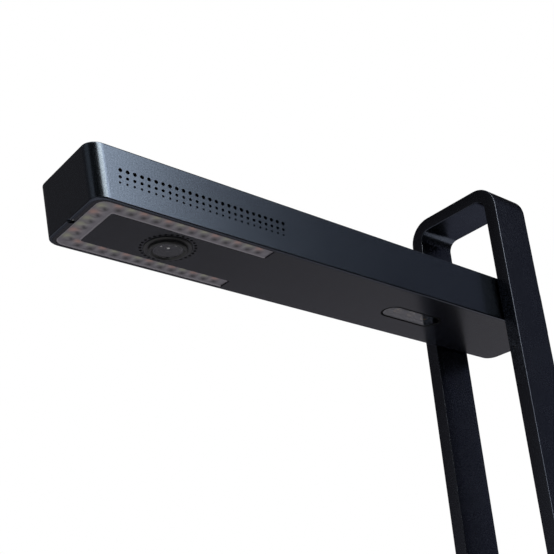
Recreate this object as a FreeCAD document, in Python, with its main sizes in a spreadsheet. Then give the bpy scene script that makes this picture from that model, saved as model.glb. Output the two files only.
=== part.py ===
import FreeCAD, Part
import math
import os
from types import SimpleNamespace

import Sketcher
from FreeCAD import Placement, Rotation, Vector

# Overhead document scanner, in millimetres, +Z up, front towards -Y, standing on Z = 0.
# The arm is described in its own frame: X across, Y back from the top edge of the head, Z up from
# its underside. The stand and the base share a second frame: Y = 0 halfway through the legs, Z = 0
# on the desk. Both frames are moved as a whole, so that the origin is the bottom centre of all.

SIZES = [
    # arm shell
    ("arm_width", 66, "arm, side to side"),
    ("arm_height", 36, "arm, underside to top"),
    ("arm_length", 417, "arm, top edge of the head to the rear end"),
    ("arm_corner", 9, "radius of the arm's upright corners"),
    ("head_setback", 6.2, "how far the head end leans back at the underside"),
    ("arm_wall", 1.8, "side wall of the shell"),
    ("arm_roof", 2.2, "top wall of the shell"),
    ("edge_round", 1.2, "rounding of outer edges"),
    ("seam", 0.15, "gap round a cover let into a housing"),
    ("hairline", 0.1, "gap between pieces stacked inside"),
    # heights and places of the whole
    ("arm_above_desk", 380, "underside of the arm above the desk"),
    ("rear_overhang", 45, "arm behind the hinge axis"),
    ("hinge_height", 18, "hinge axis above the arm's underside"),
    # vents
    ("vent_columns", 26, "columns of vent holes"),
    ("vent_pitch", 4.75, "between vent columns"),
    ("vent_start", 20.7, "first vent column"),
    ("vent_upper", 21.2, "height of the large vent holes"),
    ("vent_middle", 16.7, "height of the middle vent holes"),
    ("vent_lower", 12.9, "height of the small vent holes"),
    ("vent_large", 1.3, "radius of the large vent holes"),
    ("vent_medium", 1.05, "radius of the middle vent holes"),
    ("vent_small", 0.8, "radius of the small vent holes"),
    ("screen_thick", 0.4, "dust screen"),
    ("screen_margin", 4, "dust screen beyond the holes"),
    # underside plate
    ("plate_thick", 1.5, "underside plate"),
    ("flange_thick", 0.8, "flange of a window behind the plate"),
    ("notch_radius", 2.2, "nail notch at the head"),
    ("notch_across", -1, "nail notch, sideways place"),
    ("notch_back", 8, "nail notch, behind the head's top edge"),
    ("notch_deep", 1.2, "nail notch depth in the shell"),
    ("pin_hole", 0.45, "radius of the reset hole in the head end"),
    ("pin_hole_across", 3, "reset hole, sideways place"),
    ("pin_hole_up", 3, "reset hole above the underside"),
    ("seat_wide", 1.6, "seat rib inside the shell"),
    ("seat_long", 14, "length of a seat rib"),
    ("seat_high", 2, "height of a seat rib"),
    ("seat_first", 160, "first seat rib"),
    ("seat_pitch", 85, "between seat ribs"),
    ("seat_count", 3, "seat ribs on a side"),
    ("clip_gap", 4, "between a plate clip and the rib or bracket beside it"),
    ("clip_long", 8, "length of a plate clip"),
    ("clip_foot", 6, "foot of a plate clip"),
    ("clip_high", 7, "upright of a plate clip"),
    ("clip_steel", 0.4, "spring steel of a plate clip"),
    # light
    ("light_margin", 2.9, "between the light slot and the side of the arm"),
    ("light_band", 10.7, "width of the light slot"),
    ("light_front", 10.4, "front edge of the light slot"),
    ("light_back", 23.2, "inner front edge of the light slot"),
    ("light_end", 133.5, "rear ends of the light slot"),
    ("light_corner", 6, "outer corner radius of the light slot"),
    ("light_inside_corner", 1.5, "inner corner radius of the light slot"),
    ("cover_proud", 0.2, "light cover below the underside"),
    ("cover_lip", 0.9, "flange of the light cover"),
    ("tray_high", 6, "light tray"),
    ("tray_top", 1.2, "top of the light tray"),
    ("tray_wall", 0.8, "walls of the light tray"),
    ("board_thick", 1, "light board"),
    ("led_wide", 3.5, "light chip, long side"),
    ("led_deep", 2.8, "light chip, short side"),
    ("led_high", 0.8, "light chip height"),
    ("led_pitch", 8.33, "between light chips"),
    ("led_shift", 0.05, "side rows of light chips outside the middle of the slot"),
    ("led_first", 24.3, "first light chip of a side row"),
    ("led_per_side", 13, "light chips in a side row"),
    ("led_head", 16.6, "head row of light chips"),
    ("led_in_head", 6, "light chips in the head row"),
    # camera
    ("lens_back", 73, "lens axis behind the head's top edge"),
    ("ring_holes", 30, "small holes round the lens"),
    ("ring_gap", 2, "between the bezel and the circle of small holes"),
    ("ring_hole", 0.55, "radius of a small hole"),
    ("bezel_wide", 2.7, "width of the lens bezel"),
    ("bezel_gap", 0.2, "between bezel and barrel"),
    ("bezel_proud", 1.0, "bezel below the underside"),
    ("bezel_lip", 1.4, "flange of the bezel"),
    ("barrel_rim", 1.7, "rim of the lens barrel"),
    ("barrel_proud", 3, "barrel below the underside"),
    ("barrel_top", 12, "top of the barrel above the underside"),
    ("barrel_mouth", 1, "ledge between the mouth of the barrel and the glass"),
    ("barrel_chamfer", 0.6, "chamfer of the barrel's edge"),
    ("glass_radius", 9.6, "lens cover glass"),
    ("glass_thick", 1.2, "lens cover glass"),
    ("glass_sunk", 1.1, "cover glass inside the mouth"),
    ("optic_ledge", 1.7, "ledge that carries the glass"),
    ("optic_narrow", 1.8, "rear lens element smaller in radius than the front ones"),
    ("optic_step", 7, "where the barrel's bore narrows"),
    ("optic_curve", 16, "radius of the lens surfaces"),
    ("optic_front_thick", 3, "front lens element"),
    ("optic_middle_thick", 2.4, "middle lens element"),
    ("optic_rear_thick", 3, "rear lens element"),
    ("optic_rest", 0.2, "middle lens element ahead of the step in the bore"),
    ("optic_space", 0.6, "rear lens element behind the step in the bore"),
    ("optic_fit", 0.05, "gap round a lens element"),
    ("housing_wall", 2.5, "wall of the camera housing"),
    ("housing_start", 9, "camera housing above the underside"),
    ("housing_flange", 18, "flange of the camera housing above the underside"),
    ("flange_high", 2, "flange of the camera housing"),
    ("sensor_gate", 6.2, "radius of the light gate to the sensor"),
    ("sensor_side", 18, "half side of the sensor board and the flange"),
    ("sensor_screws", 15, "sensor board screws from the lens axis"),
    ("sensor_wide", 9, "image sensor"),
    ("sensor_deep", 7, "image sensor"),
    ("sensor_high", 1, "image sensor"),
    ("circuit_thick", 1.2, "sensor board"),
    ("ribbon_wide", 12, "camera ribbon"),
    ("ribbon_thick", 0.3, "camera ribbon"),
    ("ribbon_lap", 5, "camera ribbon on each board"),
    # main board
    ("main_margin", 6.2, "between the main board and the shell"),
    ("main_front", 140, "front edge of the main board"),
    ("main_back", 250, "rear edge of the main board"),
    ("main_thick", 1.6, "main board"),
    ("main_screw_side", 4, "main board screws from its sides"),
    ("main_screw_in", 5, "main board screws from its front and rear edges"),
    ("chip_side", 17, "processor"),
    ("chip_high", 1.4, "chips"),
    ("chip_back", 190, "processor behind the head's top edge"),
    ("memory_wide", 10, "memory chip"),
    ("memory_deep", 12, "memory chip"),
    ("memory_gap", 5, "between processor and memory"),
    ("block_side", 24, "heat block"),
    ("plug_long", 10, "cable plug"),
    ("plug_wide", 6, "cable plug"),
    ("plug_high", 3.2, "cable plug"),
    # laser window and lasers
    ("window_ahead", 84.7, "middle of the dark window ahead of the hinge axis"),
    ("window_half_long", 27.7, "half length of the dark window"),
    ("window_half_wide", 8.6, "half width of the dark window"),
    ("window_lip", 1.1, "flange of the dark window"),
    ("laser_pitch", 14, "between laser barrels"),
    ("laser_radius", 3, "laser barrel"),
    ("laser_long", 11, "laser barrel"),
    ("laser_low", 3.2, "bottom of the laser barrels"),
    ("laser_lens", 2, "radius of the laser lens"),
    ("laser_lens_deep", 0.8, "laser lens"),
    ("holder_low", 4.5, "laser holder above the underside"),
    ("holder_high", 9.5, "laser holder"),
    ("holder_half_long", 24, "half length of the laser holder's body"),
    ("holder_half_wide", 7, "half width of the laser holder"),
    ("ear_long", 11, "ear of the laser holder"),
    ("ear_high", 2.5, "ear of the laser holder"),
    ("laser_screw", 30, "laser holder screws from its middle"),
    # posts and small screws
    ("post_radius", 3, "screw post in a housing"),
    ("pilot_radius", 1.05, "pilot hole in a post"),
    ("pilot_deep", 9, "pilot hole in a post"),
    ("small_hole", 1.4, "clearance hole for a small screw"),
    ("small_shank", 1.0, "small screw"),
    ("small_head", 2.1, "small screw head"),
    ("small_head_high", 1.0, "small screw head"),
    ("small_grip", 7, "small screw in its post"),
    ("tray_screw_fore", 28.47, "front screws of the light tray, between two chips"),
    ("tray_screw_aft", 103.44, "rear screws of the light tray, between two chips"),
    # hinge
    ("shaft_radius", 6, "hinge shaft"),
    ("shaft_bore", 3.5, "cable bore of the right shaft"),
    ("shaft_fit", 0.03, "running gap round the shaft"),
    ("shaft_in_leg", 5, "shaft inside the leg"),
    ("shaft_end", 2, "shaft beyond its nut"),
    ("shaft_window", 0.4, "gap between the shaft and the shell's hole"),
    ("spacer_radius", 12, "hinge spacer"),
    ("bracket_wide", 9.2, "hinge bracket, side to side"),
    ("bracket_half", 18, "half length of the hinge bracket"),
    ("bracket_clear", 2, "hinge bracket above the underside plate"),
    ("hinge_pad", 4.9, "pad under the shell's roof for a hinge bracket"),
    ("bracket_screw", 13, "bracket screws from the hinge axis"),
    ("bush_wall", 1, "wall of the hinge bush"),
    ("bracket_hole", 2.15, "bracket screw hole"),
    ("bracket_shank", 2, "bracket screw"),
    ("bracket_head", 3.5, "bracket screw head"),
    ("bracket_head_high", 4, "bracket screw head"),
    ("bracket_grip", 5, "bracket screw in the shell's roof pad"),
    ("disc_rim", 3, "depth of the stop disc's notch"),
    ("disc_thick", 2, "stop disc"),
    ("pin_gap", 0.35, "between the stop pin and the floor of the notch"),
    ("stop_pin_radius", 1.25, "stop pin"),
    ("stop_pin_deep", 6, "stop pin in the bracket"),
    ("stop_floor", 1.3, "stop disc between the shaft and the floor of the notch"),
    ("stop_angle", 135, "stop pin at rest, from the rear, turning up"),
    ("fold_angle", 90, "how far the arm folds down"),
    ("stop_play", 0.4, "play at each end of the notch, in degrees"),
    ("spring_thick", 1.5, "disc spring"),
    ("spring_wide", 3.5, "disc spring, shaft to rim"),
    ("nut_wide", 2.5, "hinge nut, shaft to flat"),
    ("nut_high", 6, "hinge nut"),
    ("thread_gap", 0.05, "gap in a thread or a pinned fit"),
    # stand loop
    ("leg_gap", 2, "between the arm and a leg"),
    ("bar_thick", 11, "bar of the stand"),
    ("bar_deep", 38, "bar of the stand, front to back"),
    ("handle_rise", 117, "top of the loop above the arm's underside"),
    ("loop_corner", 20, "outer corner radius of the loop"),
    ("bar_chamfer", 0.6, "chamfer of the bar's edges"),
    ("groove_half", 3.5, "half width of the cable groove"),
    ("groove_deep", 9.2, "cable groove in the right leg"),
    ("strip_half", 5.4, "half width of the cable groove's cover"),
    ("strip_thick", 1.2, "cover of the cable groove"),
    ("strip_start", 4, "groove's cover below the base's top"),
    ("strip_gap", 0.7, "groove's cover below the hinge spacer"),
    ("leg_thread", 2.5, "tapped hole in a leg"),
    ("leg_screw_apart", 10, "leg screws from the middle of the leg"),
    ("leg_screw_deep", 20, "tapped hole in a leg"),
    ("set_radius", 2, "set screw"),
    ("set_in", 3, "set screw behind the leg's inner face"),
    ("set_long", 8, "set screw"),
    # base
    ("base_width", 150, "base, side to side"),
    ("base_front", 128, "front of the base ahead of the legs' middle"),
    ("base_rear", 52, "rear of the base behind the legs' middle"),
    ("base_height", 24, "top of the base above the desk"),
    ("base_corner", 12, "upright corners of the base"),
    ("base_wall", 2.5, "walls of the base cover"),
    ("base_edge", 1.5, "rounding of the base's top edge"),
    ("base_seam", 0.2, "gap round the base plate"),
    ("foot_high", 2, "base plate above the desk"),
    ("foot_radius", 9, "rubber foot"),
    ("foot_sunk", 0.6, "foot in its recess"),
    ("foot_side", 18, "feet from the sides of the base"),
    ("foot_fore", 28, "front feet from the front of the base"),
    ("foot_aft", 26, "rear feet from the rear of the base"),
    ("floor_thick", 4, "base plate"),
    ("leg_slot_gap", 0.3, "gap round a leg in the base cover"),
    ("leg_slot_corner", 0.9, "corner radius of a leg's slot"),
    ("corner_post", 3.5, "corner post of the base cover"),
    ("corner_inset", 11, "corner posts from the edges of the base"),
    ("weight_side", 15, "steel weight from the sides of the base"),
    ("weight_fore", 4, "steel weight behind the control board"),
    ("weight_aft", 8, "steel weight ahead of the legs"),
    ("weight_room", 4.5, "between the steel weight and the roof of the base"),
    ("weight_screw", 15, "weight screws from its sides"),
    ("screw_short", 1, "board screw in the base, short of the far face"),
    ("base_shank", 1.5, "base screw"),
    ("base_head", 2.9, "base screw head"),
    ("base_head_high", 1.7, "base screw head"),
    ("base_grip", 8, "base screw above the plate"),
    ("base_hole", 1.7, "clearance hole for a base screw"),
    ("head_gap", 0.25, "gap round a sunk screw head"),
    ("leg_screw_shank", 2.45, "leg screw"),
    ("leg_screw_head", 4.6, "leg screw head"),
    ("leg_screw_head_high", 2.2, "leg screw head"),
    ("leg_screw_grip", 15, "leg screw inside the leg"),
    # controls
    ("control_line", 15, "row of buttons behind the front of the base"),
    ("control_half", 42, "half width of the control board"),
    ("control_deep", 18, "control board, front to back"),
    ("control_room", 4.9, "between the control board and the roof of the base"),
    ("control_post", 2.5, "post for the control board"),
    ("control_screw", 3, "control board screws from its ends"),
    ("button_pitch", 24, "between buttons"),
    ("button_radius", 6, "button cap"),
    ("button_gap", 0.3, "gap round a button"),
    ("button_proud", 0.8, "button above the base"),
    ("button_travel", 0.8, "button travel"),
    ("button_flange", 7.2, "flange under a button"),
    ("button_flange_high", 1.1, "flange under a button"),
    ("button_stem", 2, "stem under a button"),
    ("button_round", 0.4, "rounding of a button's edge"),
    ("switch_side", 6, "switch"),
    ("switch_high", 1.9, "switch"),
    ("switch_gap", 0.1, "between a pressed button and its switch"),
    ("status_side", -33.3, "status light"),
    ("status_radius", 1.2, "status light"),
    # ports
    ("port_half", 34, "half width of the port board"),
    ("port_fore", 8, "port board behind the legs"),
    ("port_low", 8, "port board above the desk"),
    ("port_standoff", 2.5, "radius of a stand-off"),
    ("standoff_side", 31, "stand-offs from the centre line"),
    ("standoff_back", 38, "stand-offs behind the legs' middle"),
    ("power_side", 14, "power socket from the centre line"),
    ("power_wide", 9, "power socket"),
    ("power_long", 13, "power socket"),
    ("power_high", 10.5, "power socket"),
    ("power_bore", 3.15, "bore of the power socket"),
    ("power_deep", 9, "bore of the power socket"),
    ("power_pin", 1, "centre pin of the power socket"),
    ("power_axis", 5.5, "power socket's axis above its board"),
    ("port_gap", 0.3, "gap round a socket"),
    ("data_side", -14, "data socket from the centre line"),
    ("data_wide", 8.94, "data socket"),
    ("data_long", 7.5, "data socket"),
    ("data_high", 3.26, "data socket"),
    ("data_shell", 0.3, "sheet of the data socket"),
    ("data_tongue_wide", 6.2, "tongue of the data socket"),
    ("data_tongue_high", 0.7, "tongue of the data socket"),
    ("data_back", 1.2, "back wall of the data socket"),
    # cables
    ("arm_cable_radius", 1.6, "cable in the arm"),
    ("cable_side", -12, "start of the arm cable"),
    ("cable_turn", 46, "where the arm cable turns to the middle, ahead of the hinge axis"),
    ("cable_straight", 26, "where the arm cable is in the middle, ahead of the hinge axis"),
    ("cable_bend", 25, "bend of the arm cable"),
    ("cable_tight_bend", 6, "bend of the arm cable at the hinge"),
    ("cable_meet", 0.3, "gap between the two cables at the hinge"),
    ("light_lead_radius", 0.9, "lead of the light"),
    ("lead_gap", 0.3, "gap round the light's lead in the tray"),
    ("light_lead_side", 1.8, "lead of the light, inside the row of chips"),
    ("light_lead_inset", 5, "lead of the light, ahead of the light board's rear end"),
    ("light_lead_lap", 16, "end of the light's lead behind the main board's front edge"),
    ("light_lead_high", 14, "level run of the light's lead above the underside"),
    ("light_lead_bend", 3, "bends of the light's lead"),
    ("leg_cable_gap", 0.4, "between the leg cable and the bottom of its groove"),
    ("leg_cable_bend", 2.7, "bend of the leg cable"),
    ("leg_cable_low", 14, "leg cable inside the base"),
    ("leg_cable_out", 9, "leg cable beside the leg, inside the base"),
    ("leg_cable_bend_out", 5, "bend of the leg cable inside the base"),
    ("control_cable_radius", 1.3, "control cable"),
    ("control_cable_gap", 0.3, "control cable over the weight"),
    ("control_cable_up", 2, "control cable over the port board"),
    ("control_cable_drop", 12, "where the control cable turns down, ahead of the port board"),
    ("control_cable_level", 5, "where the control cable is level again, ahead of the port board"),
    ("control_cable_bend", 8, "bends of the control cable"),
]

NODE_FOLDER = "parts"
HEXAGON = 6
OVERLAP = 0.5  # how far a post is sunk into the wall that carries it
THROUGH = 3  # how far a cut runs past a face

doc = FreeCAD.newDocument("document_scanner")
sheet = doc.addObject("Spreadsheet::Sheet", "sizes")
for row, (alias, value, note) in enumerate(SIZES, start=1):
    sheet.set(f"A{row}", alias)
    sheet.set(f"B{row}", str(value))
    sheet.set(f"C{row}", note)
    sheet.setAlias(f"B{row}", alias)
doc.recompute()


class Size:
    """A length on the sheet: the formula that drives the model, and its present value."""

    def __init__(self, formula, number):
        self.formula = formula
        self.number = number

    def __add__(self, other):
        other = as_size(other)
        return Size(f"({self.formula} + {other.formula})", self.number + other.number)

    def __sub__(self, other):
        other = as_size(other)
        return Size(f"({self.formula} - {other.formula})", self.number - other.number)

    def __mul__(self, other):
        other = as_size(other)
        return Size(f"({self.formula} * {other.formula})", self.number * other.number)

    def __truediv__(self, other):
        other = as_size(other)
        return Size(f"({self.formula} / {other.formula})", self.number / other.number)

    def __neg__(self):
        return Size(f"(0 - {self.formula})", -self.number)

    def __radd__(self, other):
        return as_size(other) + self

    def __rsub__(self, other):
        return as_size(other) - self

    def __rmul__(self, other):
        return as_size(other) * self


def as_size(value):
    if isinstance(value, Size):
        return value
    return Size(f"({value})", float(value))


d = SimpleNamespace(**{alias: Size(f"sizes.{alias}", float(sheet.get(alias))) for alias, _, _ in SIZES})

nodes = []


def bind(item, name, value):
    item.setExpression(name, as_size(value).formula)


def set_down(item, frame, x=0, y=0, z=0):
    for axis, start, offset in zip("xyz", frame, (x, y, z)):
        bind(item, f"Placement.Base.{axis}", start + offset)


def node(item, label):
    item.Label = label
    nodes.append(item)
    return item


# Frames of the arm and of the stand with its base.
hinge_reach = d.arm_length - d.rear_overhang
whole_depth = hinge_reach + d.base_rear
ARM = (as_size(0), -whole_depth / 2, d.arm_above_desk)
STAND = (as_size(0), hinge_reach - whole_depth / 2, as_size(0))


# Sketches and features

def new_body(label, frame, x=0, y=0, z=0):
    body = doc.addObject("PartDesign::Body", label)
    set_down(body, frame, x, y, z)
    return node(body, label)


def new_sketch(body, role="XY_Plane", offset=0):
    sketch = body.newObject("Sketcher::SketchObject", "sketch")
    plane = next(item for item in body.Origin.OriginFeatures if item.Role == role)
    sketch.AttachmentSupport = [(plane, "")]
    sketch.MapMode = "FlatFace"
    bind(sketch, "AttachmentOffset.Base.z", offset)
    return sketch


def fix_point(sketch, geometry, end, x, y):
    for kind, value in (("DistanceX", x), ("DistanceY", y)):
        number = sketch.addConstraint(Sketcher.Constraint(kind, -1, 1, geometry, end, value.number))
        bind(sketch, f"Constraints[{number}]", value)


def fix_radius(sketch, geometry, radius):
    number = sketch.addConstraint(Sketcher.Constraint("Radius", geometry, radius.number))
    bind(sketch, f"Constraints[{number}]", radius)


def heading(start, end):
    across = end[0].number - start[0].number
    along = end[1].number - start[1].number
    reach = math.hypot(across, along)
    return round(across / reach), round(along / reach)


def step(value, distance, way):
    return value if way == 0 else value + distance * way


def outline(sketch, corners):
    # A closed outline. A corner with a third value is a square one, rounded by that radius.
    places = [(as_size(corner[0]), as_size(corner[1])) for corner in corners]
    count = len(places)
    arrivals = []
    departures = []
    turns = []
    for index, corner in enumerate(corners):
        x, y = places[index]
        if len(corner) == 2:
            arrivals.append((x, y))
            departures.append((x, y))
            turns.append(None)
            continue
        radius = as_size(corner[2])
        came = heading(places[index - 1], places[index])
        goes = heading(places[index], places[(index + 1) % count])
        arrivals.append((step(x, radius, -came[0]), step(y, radius, -came[1])))
        departures.append((step(x, radius, goes[0]), step(y, radius, goes[1])))
        centre = (
            x.number + radius.number * (goes[0] - came[0]),
            y.number + radius.number * (goes[1] - came[1]),
        )
        turns.append((radius, centre, came[0] * goes[1] - came[1] * goes[0] > 0))
    sides = []
    for index in range(count):
        start = departures[index]
        end = arrivals[(index + 1) % count]
        line = Part.LineSegment(
            Vector(start[0].number, start[1].number, 0),
            Vector(end[0].number, end[1].number, 0),
        )
        sides.append(sketch.addGeometry(line))
    for index in range(count):
        side_in = sides[index - 1]
        side_out = sides[index]
        fix_point(sketch, side_out, 1, *departures[index])
        if turns[index] is None:
            sketch.addConstraint(Sketcher.Constraint("Coincident", side_in, 2, side_out, 1))
            continue
        fix_point(sketch, side_in, 2, *arrivals[index])
        radius, centre, turns_left = turns[index]
        first, last = arrivals[index], departures[index]
        if not turns_left:
            first, last = last, first
        angles = [math.atan2(p[1].number - centre[1], p[0].number - centre[0]) for p in (first, last)]
        circle_of_arc = Part.Circle(Vector(centre[0], centre[1], 0), Vector(0, 0, 1), radius.number)
        arc = sketch.addGeometry(Part.ArcOfCircle(circle_of_arc, angles[0], angles[1]))
        in_end, out_end = (1, 2) if turns_left else (2, 1)
        sketch.addConstraint(Sketcher.Constraint("Coincident", arc, in_end, side_in, 2))
        sketch.addConstraint(Sketcher.Constraint("Coincident", arc, out_end, side_out, 1))
        fix_radius(sketch, arc, radius)


def rectangle(sketch, left, right, front, back, radius=None):
    corners = [(left, front), (right, front), (right, back), (left, back)]
    if radius is not None:
        corners = [corner + (radius,) for corner in corners]
    outline(sketch, corners)


def circle(sketch, x, y, radius):
    x = as_size(x)
    y = as_size(y)
    radius = as_size(radius)
    round_edge = Part.Circle(Vector(x.number, y.number, 0), Vector(0, 0, 1), radius.number)
    geometry = sketch.addGeometry(round_edge)
    fix_point(sketch, geometry, 3, x, y)
    fix_radius(sketch, geometry, radius)


def pad(body, sketch, length):
    feature = body.newObject("PartDesign::Pad", "pad")
    feature.Profile = sketch
    bind(feature, "Length", length)
    return feature


def cut(body, sketch, length=None, forward=True):
    # Cuts along the sketch's normal, or against it. Without a length it cuts everything on its way.
    feature = body.newObject("PartDesign::Pocket", "cut")
    feature.Profile = sketch
    feature.Reversed = forward
    if length is None:
        feature.Type = "ThroughAll"
    else:
        bind(feature, "Length", length)
    return feature


def spin(body, sketch):
    feature = body.newObject("PartDesign::Revolution", "spin")
    feature.Profile = sketch
    feature.ReferenceAxis = (sketch, ["V_Axis"])
    feature.Angle = 360
    return feature


def row_of(body, features, sketch, axis, pitch, count):
    feature = body.newObject("PartDesign::LinearPattern", "row")
    feature.Originals = features
    feature.Direction = (sketch, [axis])
    feature.Mode = "Spacing"
    bind(feature, "Offset", pitch)
    bind(feature, "Occurrences", count)
    body.Tip = feature
    return feature


def mirror(body, features, role="YZ_Plane"):
    feature = body.newObject("PartDesign::Mirrored", "mirror")
    feature.Originals = features
    plane = next(item for item in body.Origin.OriginFeatures if item.Role == role)
    feature.MirrorPlane = (plane, [""])
    body.Tip = feature
    return feature


def soften(body, kind, radius, wanted):
    # A fillet or chamfer on every edge of the body that the test picks.
    doc.recompute()
    base = body.Tip
    names = [f"Edge{i}" for i, edge in enumerate(base.Shape.Edges, start=1) if wanted(edge)]
    feature = body.newObject(f"PartDesign::{kind}", kind.lower())
    feature.Base = (base, names)
    bind(feature, "Radius" if kind == "Fillet" else "Size", radius)
    return feature


def edge_lies(edge, axis, place):
    low = getattr(edge.BoundBox, f"{axis}Min")
    high = getattr(edge.BoundBox, f"{axis}Max")
    return abs(low - place.number) < 0.01 and abs(high - place.number) < 0.01


def posts(body, spots, low, top, radius, pilot=None):
    # Screw posts that hang from a roof, open below.
    sketch = new_sketch(body, offset=low)
    for x, y in spots:
        circle(sketch, x, y, radius)
    pad(body, sketch, top - low)
    holes = new_sketch(body, offset=low)
    for x, y in spots:
        circle(holes, x, y, pilot or d.pilot_radius)
    cut(body, holes, d.pilot_deep)


def drill(body, spots, low, length, radius):
    sketch = new_sketch(body, offset=low)
    for x, y in spots:
        circle(sketch, x, y, radius)
    return cut(body, sketch, length)


# Simple solids

def box(label, frame, x, y, z, wide, deep, high):
    item = doc.addObject("Part::Box", label)
    set_down(item, frame, x, y, z)
    bind(item, "Length", wide)
    bind(item, "Width", deep)
    bind(item, "Height", high)
    return item


def cylinder(label, frame, x, y, z, radius, high, turn=None):
    item = doc.addObject("Part::Cylinder", label)
    if turn is not None:
        item.Placement = Placement(Vector(), turn)
    set_down(item, frame, x, y, z)
    bind(item, "Radius", radius)
    bind(item, "Height", high)
    return item


def minus(label, base, tool):
    item = doc.addObject("Part::Cut", label)
    item.Base = base
    item.Tool = tool
    return item


def fused(label, pieces):
    item = doc.addObject("Part::MultiFuse", label)
    item.Shapes = pieces
    return item


def group(label, pieces):
    item = doc.addObject("Part::Compound", label)
    item.Links = pieces
    return node(item, label)


UP = Rotation()
TO_RIGHT = Rotation(Vector(0, 1, 0), 90)
TO_LEFT = Rotation(Vector(0, 1, 0), -90)
TO_FRONT = Rotation(Vector(1, 0, 0), 90)


def tube(label, frame, radius, route):
    # A round cable along straight runs joined by tangent arcs. Each inner point has its own bend.
    points = [Vector(*[as_size(value).number for value in point[:3]]) for point in route]
    edges = []
    start = points[0]
    for index in range(1, len(points) - 1):
        corner = points[index]
        bend = as_size(route[index][3]).number
        back = (points[index - 1] - corner).normalize()
        on = (points[index + 1] - corner).normalize()
        half = back.getAngle(on) / 2
        reach = bend / math.tan(half)
        middle = corner + (back + on).normalize() * (bend / math.sin(half) - bend)
        arrive = corner + back * reach
        leave = corner + on * reach
        edges.append(Part.makeLine(start, arrive))
        edges.append(Part.Arc(arrive, middle, leave).toShape())
        start = leave
    edges.append(Part.makeLine(start, points[-1]))
    path = Part.Wire(edges)
    first_way = (points[1] - points[0]).normalize()
    ring = Part.Wire(Part.makeCircle(radius.number, points[0], first_way))
    item = doc.addObject("Part::Feature", label)
    item.Shape = path.makePipeShell([ring], True, False)
    length = path.Length
    expected = math.pi * radius.number ** 2 * length
    print(f"{label}: {length:.1f} mm long, volume {item.Shape.Volume / expected:.4f} of section times length")
    set_down(item, frame)
    return node(item, label)


def round_screw(frame, x, y, z, sizes, way=1):
    # A screw along Z with its head's outer face at z, the shank on the side that way gives.
    head_radius, head_high, shank_radius, grip = sizes
    turn = UP if way > 0 else Rotation(Vector(1, 0, 0), 180)
    head = cylinder("screw_head", frame, x, y, z, head_radius, head_high, turn)
    shank = cylinder("screw_shank", frame, x, y, z, shank_radius, head_high + grip, turn)
    socket = doc.addObject("Part::Prism", "screw_socket")
    socket.Placement = Placement(Vector(), turn)
    set_down(socket, frame, x, y, z)
    socket.Polygon = HEXAGON
    bind(socket, "Circumradius", head_radius / 2)
    bind(socket, "Height", head_high / 2)
    return minus("screw", fused("screw_blank", [head, shank]), socket)


# Arm

half_arm = d.arm_width / 2
inner_half = half_arm - d.arm_wall
roof = d.arm_height - d.arm_roof
light_outer = half_arm - d.light_margin
light_inner = light_outer - d.light_band
led_side = light_outer - d.light_band / 2 + d.led_shift
light_lead_side = led_side - d.light_lead_side
barrel_mouth = d.glass_radius + d.barrel_mouth
barrel_radius = barrel_mouth + d.barrel_rim
bezel_inner = barrel_radius + d.bezel_gap
bezel_outer = bezel_inner + d.bezel_wide
ring_radius = bezel_outer + d.ring_gap
housing_radius = barrel_radius + d.housing_wall
optic_radius = d.glass_radius - d.optic_ledge
optic_rear_radius = optic_radius - d.optic_narrow
main_half = inner_half - d.main_margin
main_screw_side = main_half - d.main_screw_side
window_middle = hinge_reach - d.window_ahead
bracket_inner = inner_half - d.bracket_wide
bracket_low = d.plate_thick + d.bracket_clear
bracket_top = roof - d.hinge_pad
light_floor = d.plate_thick + d.flange_thick
tray_roof = light_floor + d.tray_high
tray_under_roof = tray_roof - d.tray_top
board_low = tray_under_roof - d.board_thick
sensor_low = d.housing_flange + d.flange_high
sensor_top = sensor_low + d.circuit_thick
main_top = sensor_top
main_low = main_top - d.main_thick
ear_top = d.holder_low + d.holder_high

tray_spots = [(side * led_side, y) for side in (-1, 1) for y in (d.tray_screw_fore, d.tray_screw_aft)]
camera_spots = [
    (across * d.sensor_screws, d.lens_back + along * d.sensor_screws)
    for across in (-1, 1) for along in (-1, 1)
]
main_spots = [
    (side * main_screw_side, y)
    for side in (-1, 1) for y in (d.main_front + d.main_screw_in, d.main_back - d.main_screw_in)
]
lead_start = d.light_end - d.light_lead_inset
laser_spots = [(as_size(0), window_middle + way * d.laser_screw) for way in (-1, 1)]
bracket_middle = (bracket_inner + inner_half) / 2
bracket_spots = [
    (side * bracket_middle, way * d.bracket_screw + hinge_reach)
    for side in (-1, 1) for way in (-1, 1)
]


def head_face(height, inset):
    # Where the leaning head end is at a height, or a face that lies behind it by the inset.
    return d.head_setback * (d.arm_height - height) / d.arm_height + inset


def side_view(sketch, top, inset):
    # The arm seen from its side, between the underside and a height.
    bottom = as_size(0)
    outline(sketch, [
        (head_face(bottom, inset), bottom),
        (d.arm_length - inset, bottom),
        (d.arm_length - inset, top),
        (head_face(top, inset), top),
    ])


def upright_edges(half_wide, top):
    # Picks the edges that rise from the underside to a height, at both sides.
    def wanted(edge):
        box_of_edge = edge.BoundBox
        rises = abs(box_of_edge.ZMin) < 0.01 and abs(box_of_edge.ZMax - top.number) < 0.01
        return rises and abs(abs(box_of_edge.Center.x) - half_wide.number) < 0.01
    return wanted


def arm_block(body, half_wide, top, inset, corner):
    side = new_sketch(body, "YZ_Plane", -half_wide)
    side_view(side, top, inset)
    pad(body, side, half_wide * 2)
    soften(body, "Fillet", corner, upright_edges(half_wide, top))


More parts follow.
